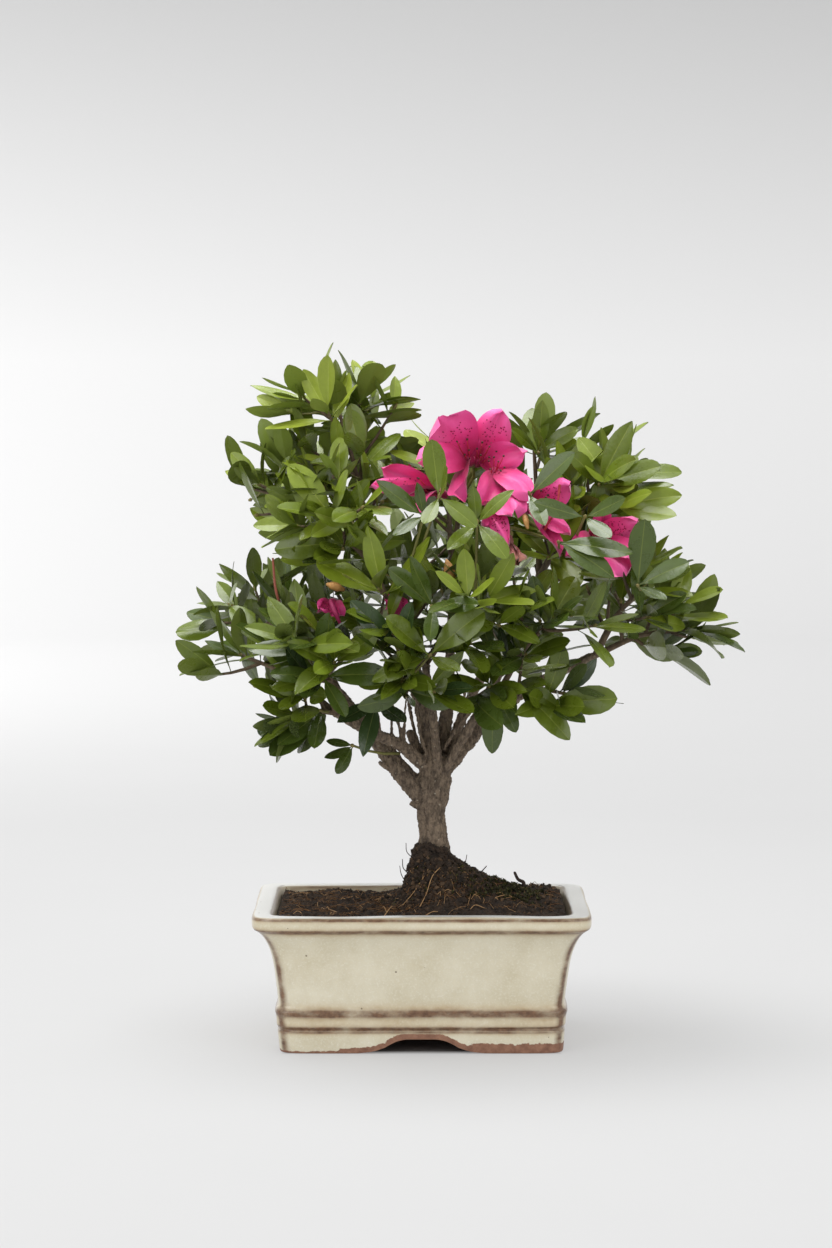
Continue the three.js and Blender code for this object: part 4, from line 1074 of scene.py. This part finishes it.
def leafMould(widthShare, swell, close):  # a flat leaf of length 1: places across and along, rib, faces
    stations, lanes = np.array(leafPlan["stations"]), np.array(leafPlan["lanes"])
    blade = np.clip((stations - leafPlan["stalk"]) / (1 - leafPlan["stalk"]), 0, 1)
    full = blade**swell * (1 - blade) ** close
    half = np.maximum(full / full.max() * widthShare / 2, leafPlan["stalkHalf"] * (1 - 0.6 * stations))
    rib = np.minimum(leafPlan["ribHalf"] * (1 - 0.65 * stations), half * 0.6)
    across = lanes[None] * half[:, None]
    across[:, 2], across[:, 3] = -rib, rib
    along = np.repeat(stations[:, None], len(lanes), 1)
    faces = gridFaces(len(stations), len(lanes))
    finishes = [int(k % (len(lanes) - 1) == 2) for k in range(len(faces))]  # the middle lane is the rib
    sunk = np.zeros_like(across)
    sunk[:, 2:4] = leafPlan["ribSink"]
    return across.ravel(), along.ravel(), sunk.ravel(), faces, finishes


slimAcross = leafMould(leafPlan["slimShare"], *leafPlan["slim"])[0]
broad = leafMould(leafPlan["widthShare"], *leafPlan["broad"])
broadAcross, leafAlong, leafSunk, leafFaces, leafFinishes = broad


def addLeaf(heap, root, way, face, length, numbers):
    fold, roll = leafPlan["fold"][0] + leafPlan["fold"][1] * numbers(), leafPlan["roll"] * numbers()
    droop, twist = mix(*leafPlan["droops"], numbers()), (numbers() - 0.5) * leafPlan["twist"]
    across = mix(slimAcross, broadAcross, numbers() ** 1.2)
    half = leafPlan["widthShare"] / 2
    rise = fold * np.abs(across) - roll * across**2 / half - leafSunk
    turn = twist * leafAlong
    across, rise = across * np.cos(turn) - rise * np.sin(turn), across * np.sin(turn) + rise * np.cos(turn)
    droop = droop if abs(droop) > 0.02 else 0.02
    bend = droop * leafAlong
    along = np.sin(bend) / droop + rise * np.sin(bend)
    lift = -(1 - np.cos(bend)) / droop + rise * np.cos(bend)
    upward = unit(face - way * face.dot(way))
    side = np.cross(way, upward)
    spots = root + length * (np.outer(across, side) + np.outer(along, way) + np.outer(lift, upward))
    heap.add(spots, leafFaces, leafFinishes)


def leafSamples(root, way, face, length):  # points to test: the last three may stand out of the outline
    upward = unit(face - way * face.dot(way))
    side = np.cross(way, upward) * length * leafPlan["widthShare"] / 2
    return [root + way * length * along + side * across for along, across in leafPlan["samples"]]


def leavesOn(path, count, first, size, numbers):  # a spiral of leaves towards the tip of a twig
    leaves, start = [], numbers() * 2 * math.pi
    for k in range(count):
        rise = k / (count - 1)
        share = mix(first, growth["lastLeaf"], rise**0.8)
        axis = wayAt(path, share)
        pitch = math.radians(mix(*growth["pitches"], rise) + growth["pitchSpread"] * (numbers() - 0.5))
        out = radial(axis, start + k * goldenAngle + growth["turnSpread"] * (numbers() - 0.5))
        way = unit(axis * math.cos(pitch) + out * math.sin(pitch))
        spot = spotAt(path, share)
        outward = unit((*np.subtract(spot[:2], trunkPlan["foot"]), 0))
        turn = growth["lightward"] * max(0, -way[2])  # a hanging leaf turns to the light
        way = unit(way + (outward + up) * turn + up * growth["upturn"])
        chance = growth["leastLeaf"] + growth["leafRange"] * numbers()
        length = growth["leafLength"] * size * chance * mix(*growth["towardsTip"], rise)
        leaves.append((spot, way, axis + up * 0.6, length))
    return leaves


leafHeaps = {tint: Heap() for tint in ("deep", "dark", "mid", "young", "fresh")}
twigHeap, shootHeap = Heap(), Heap()
counts = {"twigs": 0, "leaves": 0, "left out": 0}


def pickTint(spot, numbers):  # lighter sprays stand higher and further out
    light = lightPlan["height"] * (spot[2] - lightPlan["lowest"]) / lightPlan["heightSpan"]
    light += lightPlan["out"] * math.hypot(spot[0], spot[1]) / lightPlan["outSpan"]
    light += lightPlan["chance"] * numbers()
    step = int(light * lightPlan["steps"] - lightPlan["shift"])
    return list(leafHeaps)[min(4, max(0, step))]


def addLeaves(leaves, own, numbers):
    tint = pickTint(leaves[-1][0], numbers)
    placed = 0
    for root, way, face, length in leaves:
        for share in growth["shorter"]:
            if isClear(leafSamples(root, way, face, length * share), own, growth["spaceMargin"], 3):
                odd = numbers() < lightPlan["oddLeaves"]
                heap = leafHeaps[pickTint(root, numbers) if odd else tint]
                addLeaf(heap, root, way, face, length * share, numbers)
                placed += 1
                break
        else:
            counts["left out"] += 1
    counts["leaves"] += placed
    return placed


def addBud(path, numbers):  # the small pointed bud at a twig's tip
    tip, way = spotAt(path, 1.0), wayAt(path, 1.0)
    long = 2.4 + 2 * numbers()
    spots = [tip + way * long * share for share in (-0.2, 0.2, 0.5, 0.85)]
    tube(shootHeap, spots, np.array((0.7, 1.15, 0.95, 0.3)), 5, 1)


def addTwig(path, radii, sides, heap=None, finish=0):
    spots = spotAt(path, np.linspace(0, 1, max(4, int(path["length"] / 7))))
    tube(heap or twigHeap, spots, np.linspace(*radii, len(spots)), sides, finish)
    counts["twigs"] += 1


def bowed(start, way, length, lift):  # a twig that turns upwards on its way
    middle = start + way * length * 0.5 - up * length * lift
    return smoothPath((start, middle, start + way * length), density=8)


def growSpray(path, own, numbers):
    addLeaves(leavesOn(path, *growth["tipLeaves"], numbers), own, numbers)
    if numbers() < growth["lowChance"]:
        addLeaves(leavesOn(path, *growth["lowLeaves"], numbers), own, numbers)
    addBud(path, numbers)
    if numbers() > growth["shootChance"]:
        return
    axis, start = wayAt(path, growth["shootAt"]), spotAt(path, growth["shootAt"])
    out = radial(axis, 0.5 * math.pi + 1.6 * numbers())
    along, outwards, upwards = growth["shootWay"]
    way = unit(axis * along + out * outwards + up * upwards)
    reach = path["length"] * growth["shootShare"] * (0.7 + 0.5 * numbers())
    shortest, longest = growth["shootLengths"]
    shoot = bowed(start, way, max(shortest, min(reach, longest)), growth["bow"])
    leaves = leavesOn(shoot, *growth["shootLeaves"], numbers)
    if isClear(shoot["line"][4:], own, growth["spaceMargin"]) and addLeaves(leaves, own, numbers):
        addTwig(shoot, growth["shootRadii"], 4, shootHeap)
        addBud(shoot, numbers)


def growMass(name, own, seed):
    spread, sprays = massPlan[name][2:]
    stem, numbers = stemPaths[name], stream(seed)
    addTwig(stem, growth["stemRadii"], 7)
    for k in range(sprays):
        share = mix(growth["firstSpray"], growth["lastSpray"], k / (sprays - 1))
        axis = wayAt(stem, share)
        turn = k * goldenAngle + growth["sprayTurn"] * numbers()
        lean = math.radians(mix(*growth["leans"], share))
        least, more = growth["sprayReach"]
        reach = spread * (least + more * numbers())
        way = unit(axis * math.cos(lean) + radial(axis, turn) * math.sin(lean) + up * growth["lift"])
        finer = stream(int(numbers() * 1e6))
        if k == sprays - 1:  # the last spray is the stem's own tip
            end = spotAt(stem, np.linspace(growth["tipSpray"], 1, 6))
            growSpray(smoothPath(end, density=4), own, finer)
            continue
        for part in growth["twigShares"]:
            twig = bowed(spotAt(stem, share), way, reach * part, growth["bow"])
            if isClear(twig["line"][6:], own, growth["spaceMargin"]):
                addTwig(twig, growth["twigRadii"], 5)
                growSpray(twig, own, finer)
                break


handPlan = (  # sprays that show by themselves in the photo: twig's start and end, tint, tips of its leaves
    ((-12, -8, 158), (-37, -26, 164), "dark", ((-51, -27, 168), (-52, -30, 157), (-46, -30, 150))),
    ((-50, -38, 184), (-54, -46, 185), "dark", (
        (-86, -52, 175), (-80, -54, 162), (-76, -60, 168), (-57, -66, 169))),
    ((-25, -20, 171), (-24, -44, 190), "deep", ((-32, -60, 165), (-8, -62, 178), (-44, -60, 181))),
    ((42, -32, 194), (39, -56, 196), "dark", ((36, -62, 164), (50, -66, 177), (22, -72, 186))),
    ((42, -32, 194), (50, -54, 200), "mid", ((74, -60, 192), (80, -64, 175), (62, -76, 206))),
    ((62, 14, 327), (64, 0, 323), "mid", ((66, -6, 350), (50, -14, 336), (82, -8, 338))),
    ((103, -3, 308), (96, -28, 306), "mid", (
        (110, -40, 339), (126, -44, 317), (84, -46, 324), (106, -54, 323))),
    ((103, -3, 308), (104, -36, 294), "young", ((137, -44, 304), (135, -50, 290), (118, -62, 305))),
    ((-15, -66, 240), (9, -85, 301), "mid", (
        (5.4, -86, 330), (16, -104, 316), (1.6, -96, 286), (28, -96, 288))),
    ((-15, -66, 240), (1, -84, 291), "dark", ((-23, -92, 309), (-2, -90, 308), (-14, -96, 284))),
    ((28, -72, 240), (29, -81, 287), "mid", ((27, -88, 306), (44, -90, 306), (44, -98, 274), (14, -96, 276))),
    ((76, -20, 268), (57, -73, 302), "dark", ((78, -82, 324), (64, -92, 290))),
    ((76, -20, 268), (86, -74, 290), "dark", ((60, -84, 298), (106, -86, 300), (98, -92, 282))),
    ((76, -20, 268), (72, -79, 277), "dark", ((109, -88, 275), (100, -94, 264))),
    ((120, -34, 252), (114, -76, 254), "dark", ((117, -82, 288), (138, -84, 268), (128, -88, 246))),
    ((-49, -56, 209), (-52, -82, 206), "dark", (
        (-78, -90, 210), (-20, -96, 213), (-47, -92, 241), (-40, -94, 188))),
    ((-10, -84, 204), (4, -92, 218), "mid", (
        (28, -104, 243), (-16, -106, 239), (-26, -100, 210), (19, -108, 212))),
    ((28, -72, 240), (6, -94, 244), "dark", (
        (-7, -104, 270), (-16, -98, 264), (27, -110, 248), (4, -108, 229))),
    ((-10, -84, 204), (-13, -90, 222), "deep", ((-35, -97, 247), (-4, -96, 246))),
)


def growByHand():
    numbers = stream(5)
    for start, end, tint, tips in handPlan:
        way = unit(np.subtract(end, start))
        twig = bowed(np.array(start, float), way, math.dist(start, end), growth["handBow"])
        addTwig(twig, growth["handRadii"], 5, shootHeap)
        addBud(twig, numbers)
        for tip in tips:
            way = np.subtract(tip, end)
            face = np.array((0.3 * (numbers() - 0.5), -0.8, 0.6))  # towards the front and up
            length = np.linalg.norm(way) * 1.04
            addLeaf(leafHeaps[tint], np.array(end, float), unit(way), face, length, numbers)
            counts["leaves"] += 1


for own, name in enumerate(massNames):
    growMass(name, own, growth["seed"] + own)
growByHand()
print("foliage grown:", counts)


def leafFinish(name, top, under, roughness):
    finish = Finish(name, roughness)
    top = colour(*top)[:3]
    dark = tuple(c * 0.8 for c in top) + (1,)
    light = tuple(min(1, c * 1.18) for c in top) + (1,)
    patches = finish.group(mottle, Dark=dark, Light=light, Size=140, Contrast=1.8)
    back = addNode(finish.tree, "ShaderNodeNewGeometry", {}).outputs["Backfacing"]
    finish.feed("Base Color", finish.blend(back, patches["Colour"], colour(*under)))
    finish.roughness(patches["Mask"], roughness - 0.1, roughness + 0.08)
    finish.bump(0.2, 0.0005, Size=520)
    finish.set(Coat_Weight=1.2 * (0.5 - roughness), Coat_Roughness=0.22, Specular_IOR_Level=0.4)
    return finish.material


leafTints = {  # upper side, underside, midrib, roughness
    "deep": ((51, 70, 33), (88, 102, 56), (84, 96, 48), 0.26),
    "dark": ((69, 86, 29), (98, 110, 54), (100, 112, 46), 0.3),
    "mid": ((96, 112, 27), (112, 126, 54), (122, 135, 50), 0.31),
    "young": ((118, 134, 34), (126, 142, 62), (140, 152, 60), 0.36),
    "fresh": ((139, 153, 49), (140, 156, 72), (158, 170, 78), 0.4),
}
for tint, (top, under, rib, roughness) in leafTints.items():
    finishes = (
        leafFinish(tint + "Leaf", top, under, roughness),
        leafFinish(tint + "Midrib", rib, under, roughness + 0.08),
    )
    settle(leafHeaps[tint].piece("leaves" + tint.title(), *finishes), "leaf", *foliageNodes)

# blossom: ruffled petals round a funnel, with stamens, on stalks from the stems
petalPlan = {
    "rows": 12, "lanes": 9, "spots": 55, "stamens": 6, "stamenLength": 17, "seed": 900, "stalkFrom": 0.7,
    "even": (20, 7, 10, 0), "withered": (4, 12, 3.5, 1),  # five petals' reach, rise, half width and finish
    "funnel": ((-7, 2.2), (-4, 3.0), (-1, 3.4), (1.5, 1.8)),  # along the axis, radius
    "turn": 1.1, "swell": 0.6, "closes": (0.7, 0.26), "claw": 0.22, "cup": 0.8, "sway": 0.3,
    "ruffles": (2.1, 1.2), "arches": (-0.02, 0.16), "keel": 1.3,
    "spotRows": (0.3, 0.72), "spotSpread": 0.7, "spotSizes": (0.22, 0.28), "spotLift": 0.14,
    "filament": (0.28, 1.2), "style": (0.36, 1.1, 1.25),  # radius, head, and how much longer the style is
}
petalHeap, threadHeap, spotHeap = Heap(), Heap(), Heap()


def addPetal(throat, tip, half, blunt, finish, face, spotted, numbers):  # ruffled, from throat to tip
    rows, lanes = petalPlan["rows"], petalPlan["lanes"]
    share = np.repeat(np.linspace(0, 1, rows) ** 0.85, lanes)
    lane = np.tile(np.linspace(-1, 1, lanes), rows)
    way = np.subtract(tip, throat)
    long = np.linalg.norm(way)
    outward = unit(face - way * face.dot(way) / long**2)
    turn = petalPlan["turn"] * (numbers() - 0.5)  # some petals are turned to the light, some from it
    outward = outward * math.cos(turn) + np.cross(way / long, outward) * math.sin(turn)
    side = np.cross(way / long, outward)
    full = share ** petalPlan["swell"] * (1 - np.minimum(share, 0.9995)) ** mix(*petalPlan["closes"], blunt)
    wide = half * np.maximum(full / full.max(), petalPlan["claw"] * (1 - share))
    cup, wave = petalPlan["cup"] * (numbers() - 0.4), 6 * numbers()
    sway = petalPlan["sway"] * (numbers() - 0.5)
    broadWave, fineWave = petalPlan["ruffles"]
    ruffle = broadWave * np.sin(lane * (3.2 + 2 * numbers()) + wave)
    ruffle += fineWave * np.sin(lane * 7 + share * 9 + wave)
    arch = long * mix(*petalPlan["arches"], numbers())
    lift = arch * 4 * share * (1 - share) + ruffle * share**1.5 + cup * half * lane**2 * share
    lift -= petalPlan["keel"] * (1 - np.abs(lane)) * share
    across = lane * wide + sway * half * share**2
    spots = throat + np.outer(share, way) + np.outer(across, side) + np.outer(lift, outward)
    petalHeap.add(spots, gridFaces(rows, lanes), finish, share)
    if spotted:
        addPetalSpots(spots.reshape(rows, lanes, 3), outward, numbers)


def addPetalSpots(grid, axis, numbers):  # dark flecks in the throat of a flower's first petal
    rows, lanes = grid.shape[:2]
    for k in range(petalPlan["spots"]):
        row = int(mix(*petalPlan["spotRows"], numbers()) * (rows - 1))
        aside = 0.5 + petalPlan["spotSpread"] * (numbers() - 0.5)
        lane = min(lanes - 2, max(0, int(aside * (lanes - 1))))
        one, two, three = grid[row, lane], grid[row, lane + 1], grid[row + 1, lane]
        spot = one + (two - one) * numbers() + (three - one) * numbers()
        normal = np.cross(two - one, three - one)
        normal = unit(normal if normal.dot(axis) > 0 else -normal)
        first, second = squareTo(normal)
        least, more = petalPlan["spotSizes"]
        size = least + more * numbers()
        middle, angles = spot + normal * petalPlan["spotLift"], np.arange(6) * math.pi / 3
        ring = [middle + (first * math.cos(t) + second * math.sin(t)) * size for t in angles]
        spotHeap.add(ring, [(0, 1, 2, 3, 4, 5)])


def addThread(start, axis, bend, length, radius, knob, finish):  # a stamen or style with its head
    side = unit(bend)
    line = [start + axis * length * t + side * length * 0.28 * t**2.2 for t in np.linspace(0, 1, 7)]
    tube(threadHeap, line, radius, 4, finish)
    head = [line[-1] + axis * knob * t for t in (-0.5, 0, 0.5, 1)]
    tube(threadHeap, head, np.array((0.3, 0.55, 0.5, 0.15)) * knob, 5, 2)


def addStamens(throat, axis, length, numbers):
    side, across = squareTo(axis)
    root = throat - axis * 5
    radius, anther = petalPlan["filament"]
    for k in range(petalPlan["stamens"]):
        angle = 2 * math.pi * (k + 0.4 * numbers()) / petalPlan["stamens"]
        lean = (side * math.cos(angle) + across * math.sin(angle)) * 0.25
        way = unit(axis + lean - up * 0.12)
        addThread(root, way, up + lean, length * (0.75 + 0.3 * numbers()), radius, anther, 0)
    radius, stigma, longer = petalPlan["style"]
    addThread(root, unit(axis - up * 0.15), up, length * longer, radius, stigma, 1)


def evenPetals(throat, face, reach, rise, half, finish):  # five alike, round the way that the flower faces
    axis = unit(face)
    angles = [0.3 + 2 * math.pi * k / 5 for k in range(5)]
    return [(throat + radial(axis, angle) * reach + axis * rise, half, 0.7, finish) for angle in angles]


def addStalk(start, foot, axis):  # the stalk and the green cup under a flower
    addTwig(smoothPath((start, foot - axis * 4 - up * 2, foot), density=6), (0.9, 1.1), 5, shootHeap)
    tube(shootHeap, [foot + axis * t for t in (-1.5, 0, 1.6, 3.2)], np.array((0.9, 2.0, 2.7, 2.9)), 7, 0)


along, funnelRadii = zip(*petalPlan["funnel"])
for k, (mass, at, face, petals) in enumerate(blossomPlan):
    throat, axis, numbers = np.array(at, float), unit(face), stream(petalPlan["seed"] + k)
    withered = mass == "blossomRight" and not petals
    addStalk(spotAt(stemPaths[mass], petalPlan["stalkFrom"]), throat - axis * 8, axis)
    petals = petals or evenPetals(throat, face, *petalPlan["withered" if withered else "even"])
    for count, (tip, half, blunt, finish) in enumerate(petals):
        addPetal(throat, tip, half, blunt, finish, axis, count == 0, numbers)
    radii = np.array(funnelRadii) * (0.6 if withered else 1)
    # the funnel takes the darker pink: painted shade in the throat
    tube(petalHeap, [throat + axis * t for t in along], radii, 9, 1 if withered else 2)
    if len(petals) > 2 and not withered:
        addStamens(throat, axis, petalPlan["stamenLength"], numbers)

spentPlan = (  # what is left of other flowers: points, radii, finish among the threads
    (((-79, -64, 268), (-77, -68, 250), (-71, -62, 232)), (0.55, 0.7, 0.75, 0.6), 3),
    (((73, -70, 307), (71, -74, 295), (65, -68, 283)), (0.8, 0.5, 0.5, 0.6), 1),
    (((-14, -70, 236), (-14, -76, 243), (-13, -78, 249)), (2.0, 4.4, 4.2, 0.8), 4),
    (((-48, -74, 246), (-46, -78, 241), (-43, -78, 234)), (1.2, 1.6, 1.4, 0.7), 4),
    (((-41, -76, 252), (-46, -80, 254), (-50, -80, 255)), (1.0, 2.3, 2.1, 0.8), 5),
    (((14, -76, 255), (14.5, -80, 262), (13, -80, 268)), (1.4, 3.6, 3.0, 0.6), 5),
    (((54, -66, 292), (55, -72, 288), (56, -74, 284)), (0.8, 1.6, 1.5, 0.7), 5),
)
for through, radii, finish in spentPlan:
    line = smoothPath(through, density=6)["line"]
    tube(threadHeap, line, np.interp(np.linspace(0, 3, len(line)), range(4), radii), 6, finish)


def petalFinish(name, throat, middle, rim):
    finish = Finish(name, 0.5)
    shade = finish.mark("petalShade")
    veins = finish.patches(middle, rim, 190, 1.8)
    throat, middle, rim = colour(*throat), colour(*middle), colour(*rim)
    inner = finish.blend(finish.math("MULTIPLY_ADD", shade, 2.6, -0.5, clamp=True), throat, middle)
    outer = finish.blend(finish.math("MULTIPLY_ADD", shade, 2.2, -1.1, clamp=True), inner, rim)
    veined = finish.blend(finish.math("MULTIPLY", veins["Mask"], 0.3), outer, veins["Colour"])
    finish.feed("Base Color", veined)
    finish.roughness(veins["Mask"], 0.42, 0.6)
    finish.bump(0.15, 0.0004, Size=700)
    finish.set(Sheen_Weight=0.25, Sheen_Roughness=0.4)
    return finish.material


petalFinishes = (
    petalFinish("petalPink", (190, 20, 90), (226, 50, 130), (238, 92, 164)),
    petalFinish("petalWithered", (120, 60, 58), (168, 100, 96), (190, 130, 112)),
    # a darker copy of the pink: painted shade on the petals and funnels that take it
    petalFinish("petalPinkPaintedShade", (152, 14, 70), (194, 32, 104), (212, 58, 132)),
)
threadFinishes = (  # the anthers always take the third
    patchy("threadRed", (176, 36, 60), (206, 70, 86), 400, 2, 0.5),
    patchy("styleRed", (150, 30, 40), (190, 56, 60), 400, 2, 0.5),
    patchy("antherDark", (48, 28, 26), (92, 60, 46), 900, 2, 0.7),
    patchy("spentBrown", (126, 64, 48), (160, 84, 62), 400, 2, 0.6),
    patchy("budPink", (148, 26, 78), (186, 48, 108), 300, 2, 0.5),
    patchy("scaleTan", (150, 104, 56), (200, 150, 84), 260, 2, 0.6),
)
fleckRed = patchy("fleckRed", (126, 8, 50), (160, 14, 66), 900, 2, 0.6)
petals = petalHeap.piece("blossomPetals", *petalFinishes, markName="petalShade")
settle(petals, "blossom", *foliageNodes)
settle(threadHeap.piece("blossomStamens", *threadFinishes), "blossom", *foliageNodes)
settle(spotHeap.piece("blossomFlecks", fleckRed), "blossom", *foliageNodes)

twigBark = patchy("twigBark", (78, 64, 50), (122, 104, 82), 300, 2.4, 0.8, stretch=(1, 1, 0.5), bump=0.5)
shootGreen = patchy("shootGreen", (96, 96, 46), (134, 130, 70), 300, 2, 0.6)
budBrown = patchy("budBrown", (110, 104, 52), (150, 136, 82), 500, 2, 0.6)
settle(twigHeap.piece("twigs", twigBark), "bark", *foliageNodes)
settle(shootHeap.piece("shoots", shootGreen, budBrown), "leaf", *foliageNodes)

# floor, light and camera
studio = {
    "floorRadius": 4.2, "sweepRadius": 1.1, "wallHeight": 1.9, "glow": 0.42, "air": 0.76,
    "paintedShadowUnderPot": (0.0725, 0.0505),  # half sides of the patch that doesn't glow: a painted shadow under the pot
    "lamps": (  # name, place, aim, size and power
        ("overheadSoftbox", (-0.2, 0.05, 1.4), (0, 0, 0.2), 0.9, 18),
        ("leftSoftbox", (-1.3, -1.5, 1.0), (0, 0, 0.2), 1.4, 12),
        ("rightFill", (1.5, -1.5, 0.9), (0, 0, 0.2), 1.3, 9),
        ("backdropGlow", (-1.9, 1.6, 1.4), (-1.3, 3.5, 0), 1.2, 58),
    ),
}


def makeStudio():  # a round sheet of paper that rises all round, so that each side has a backdrop
    bpy.ops.mesh.primitive_circle_add(vertices=96, radius=studio["floorRadius"], fill_type="NGON")
    floor = bpy.context.object
    floor.name = floor.data.name = "studioFloor"
    bpy.ops.object.mode_set(mode="EDIT")
    bpy.ops.mesh.select_mode(type="EDGE")
    bpy.ops.mesh.select_all(action="SELECT")
    bpy.ops.mesh.region_to_loop()
    bpy.ops.mesh.extrude_edges_move(TRANSFORM_OT_translate={"value": (0, 0, studio["wallHeight"])})
    bpy.ops.object.mode_set(mode="OBJECT")
    for edge in floor.data.edges:
        edge.select = all(floor.data.vertices[k].co.z < 0.01 for k in edge.vertices)
    bpy.ops.object.mode_set(mode="EDIT")
    bpy.ops.mesh.bevel(offset=studio["sweepRadius"], segments=20)
    bpy.ops.mesh.select_mode(type="VERT")
    bpy.ops.object.mode_set(mode="OBJECT")
    bpy.ops.object.shade_smooth()
    floor.data.materials.append(paperFinish())


def grey(level):
    return (level, level, level, 1)


def paperFinish():  # pale paper that glows a little, lighter behind and darker towards its top: painted light and shade, with a painted shadow where it doesn't glow under the pot
    finish = Finish("studioPaper", 0.9)
    grain = finish.group(mottle, Dark=grey(0.22), Light=grey(0.24), Size=3, Contrast=1)["Colour"]
    place = addNode(finish.tree, "ShaderNodeTexCoord", {}).outputs["Object"]
    away = addNode(finish.tree, "ShaderNodeVectorMath", {0: place}, operation="LENGTH").outputs["Value"]
    split = addNode(finish.tree, "ShaderNodeSeparateXYZ", {0: place}).outputs
    # lighter further out and darker up the wall: painted light and painted shade
    far = finish.math("MULTIPLY_ADD", away, 0.5, -0.5, clamp=True)
    high = finish.math("MULTIPLY_ADD", split["Z"], 1.1, -0.45, clamp=True)
    paper = finish.blend(far, grain, grey(0.53))
    finish.feed("Base Color", finish.blend(high, paper, grey(0.22)))
    past = []
    for axis, middle, half in zip("XY", potMiddle, studio["paintedShadowUnderPot"]):
        along = finish.math("ABSOLUTE", finish.math("SUBTRACT", split[axis], float(middle)))
        past.append(finish.math("SUBTRACT", along, half))
    # no glow over the pot's footprint: a painted shadow under the pot
    clear = finish.math("MULTIPLY_ADD", finish.math("MAXIMUM", *past), 110, 0.6, clamp=True)
    shine = finish.blend(far, grey(1), grey(0.56))
    finish.feed("Emission Color", finish.blend(clear, grey(0), shine))
    finish.set(Emission_Strength=studio["glow"])
    return finish.material


def addLamp(name, place, aim, size, power):
    bpy.ops.object.light_add(type="AREA", location=place)
    lamp = bpy.context.object
    lamp.name = name
    lamp.rotation_euler = (Vector(aim) - Vector(place)).to_track_quat("-Z", "Y").to_euler()
    lamp.data.size = size
    lamp.data.energy = power
    lamp.visible_camera = False


makeStudio()
for lamp in studio["lamps"]:
    addLamp(*lamp)
world = bpy.data.worlds.new("studioAir")
bpy.context.scene.world = world
world.use_nodes = True
air = world.node_tree.nodes["Background"].inputs
air["Color"].default_value = grey(1)
air["Strength"].default_value = studio["air"]
bpy.context.scene.view_settings.view_transform = "Standard"

cameraPlan = {"place": (-3, -1902, 355), "lens": 100, "longSide": 36, "tilt": 3.8}
bpy.ops.object.camera_add(location=tuple(toFrame(cameraPlan["place"])))
camera = bpy.context.object
camera.rotation_euler = (math.radians(90 - cameraPlan["tilt"]), 0, 0)
camera.data.lens = cameraPlan["lens"]
camera.data.sensor_width = cameraPlan["longSide"]
bpy.context.scene.camera = camera
print("studio ready")
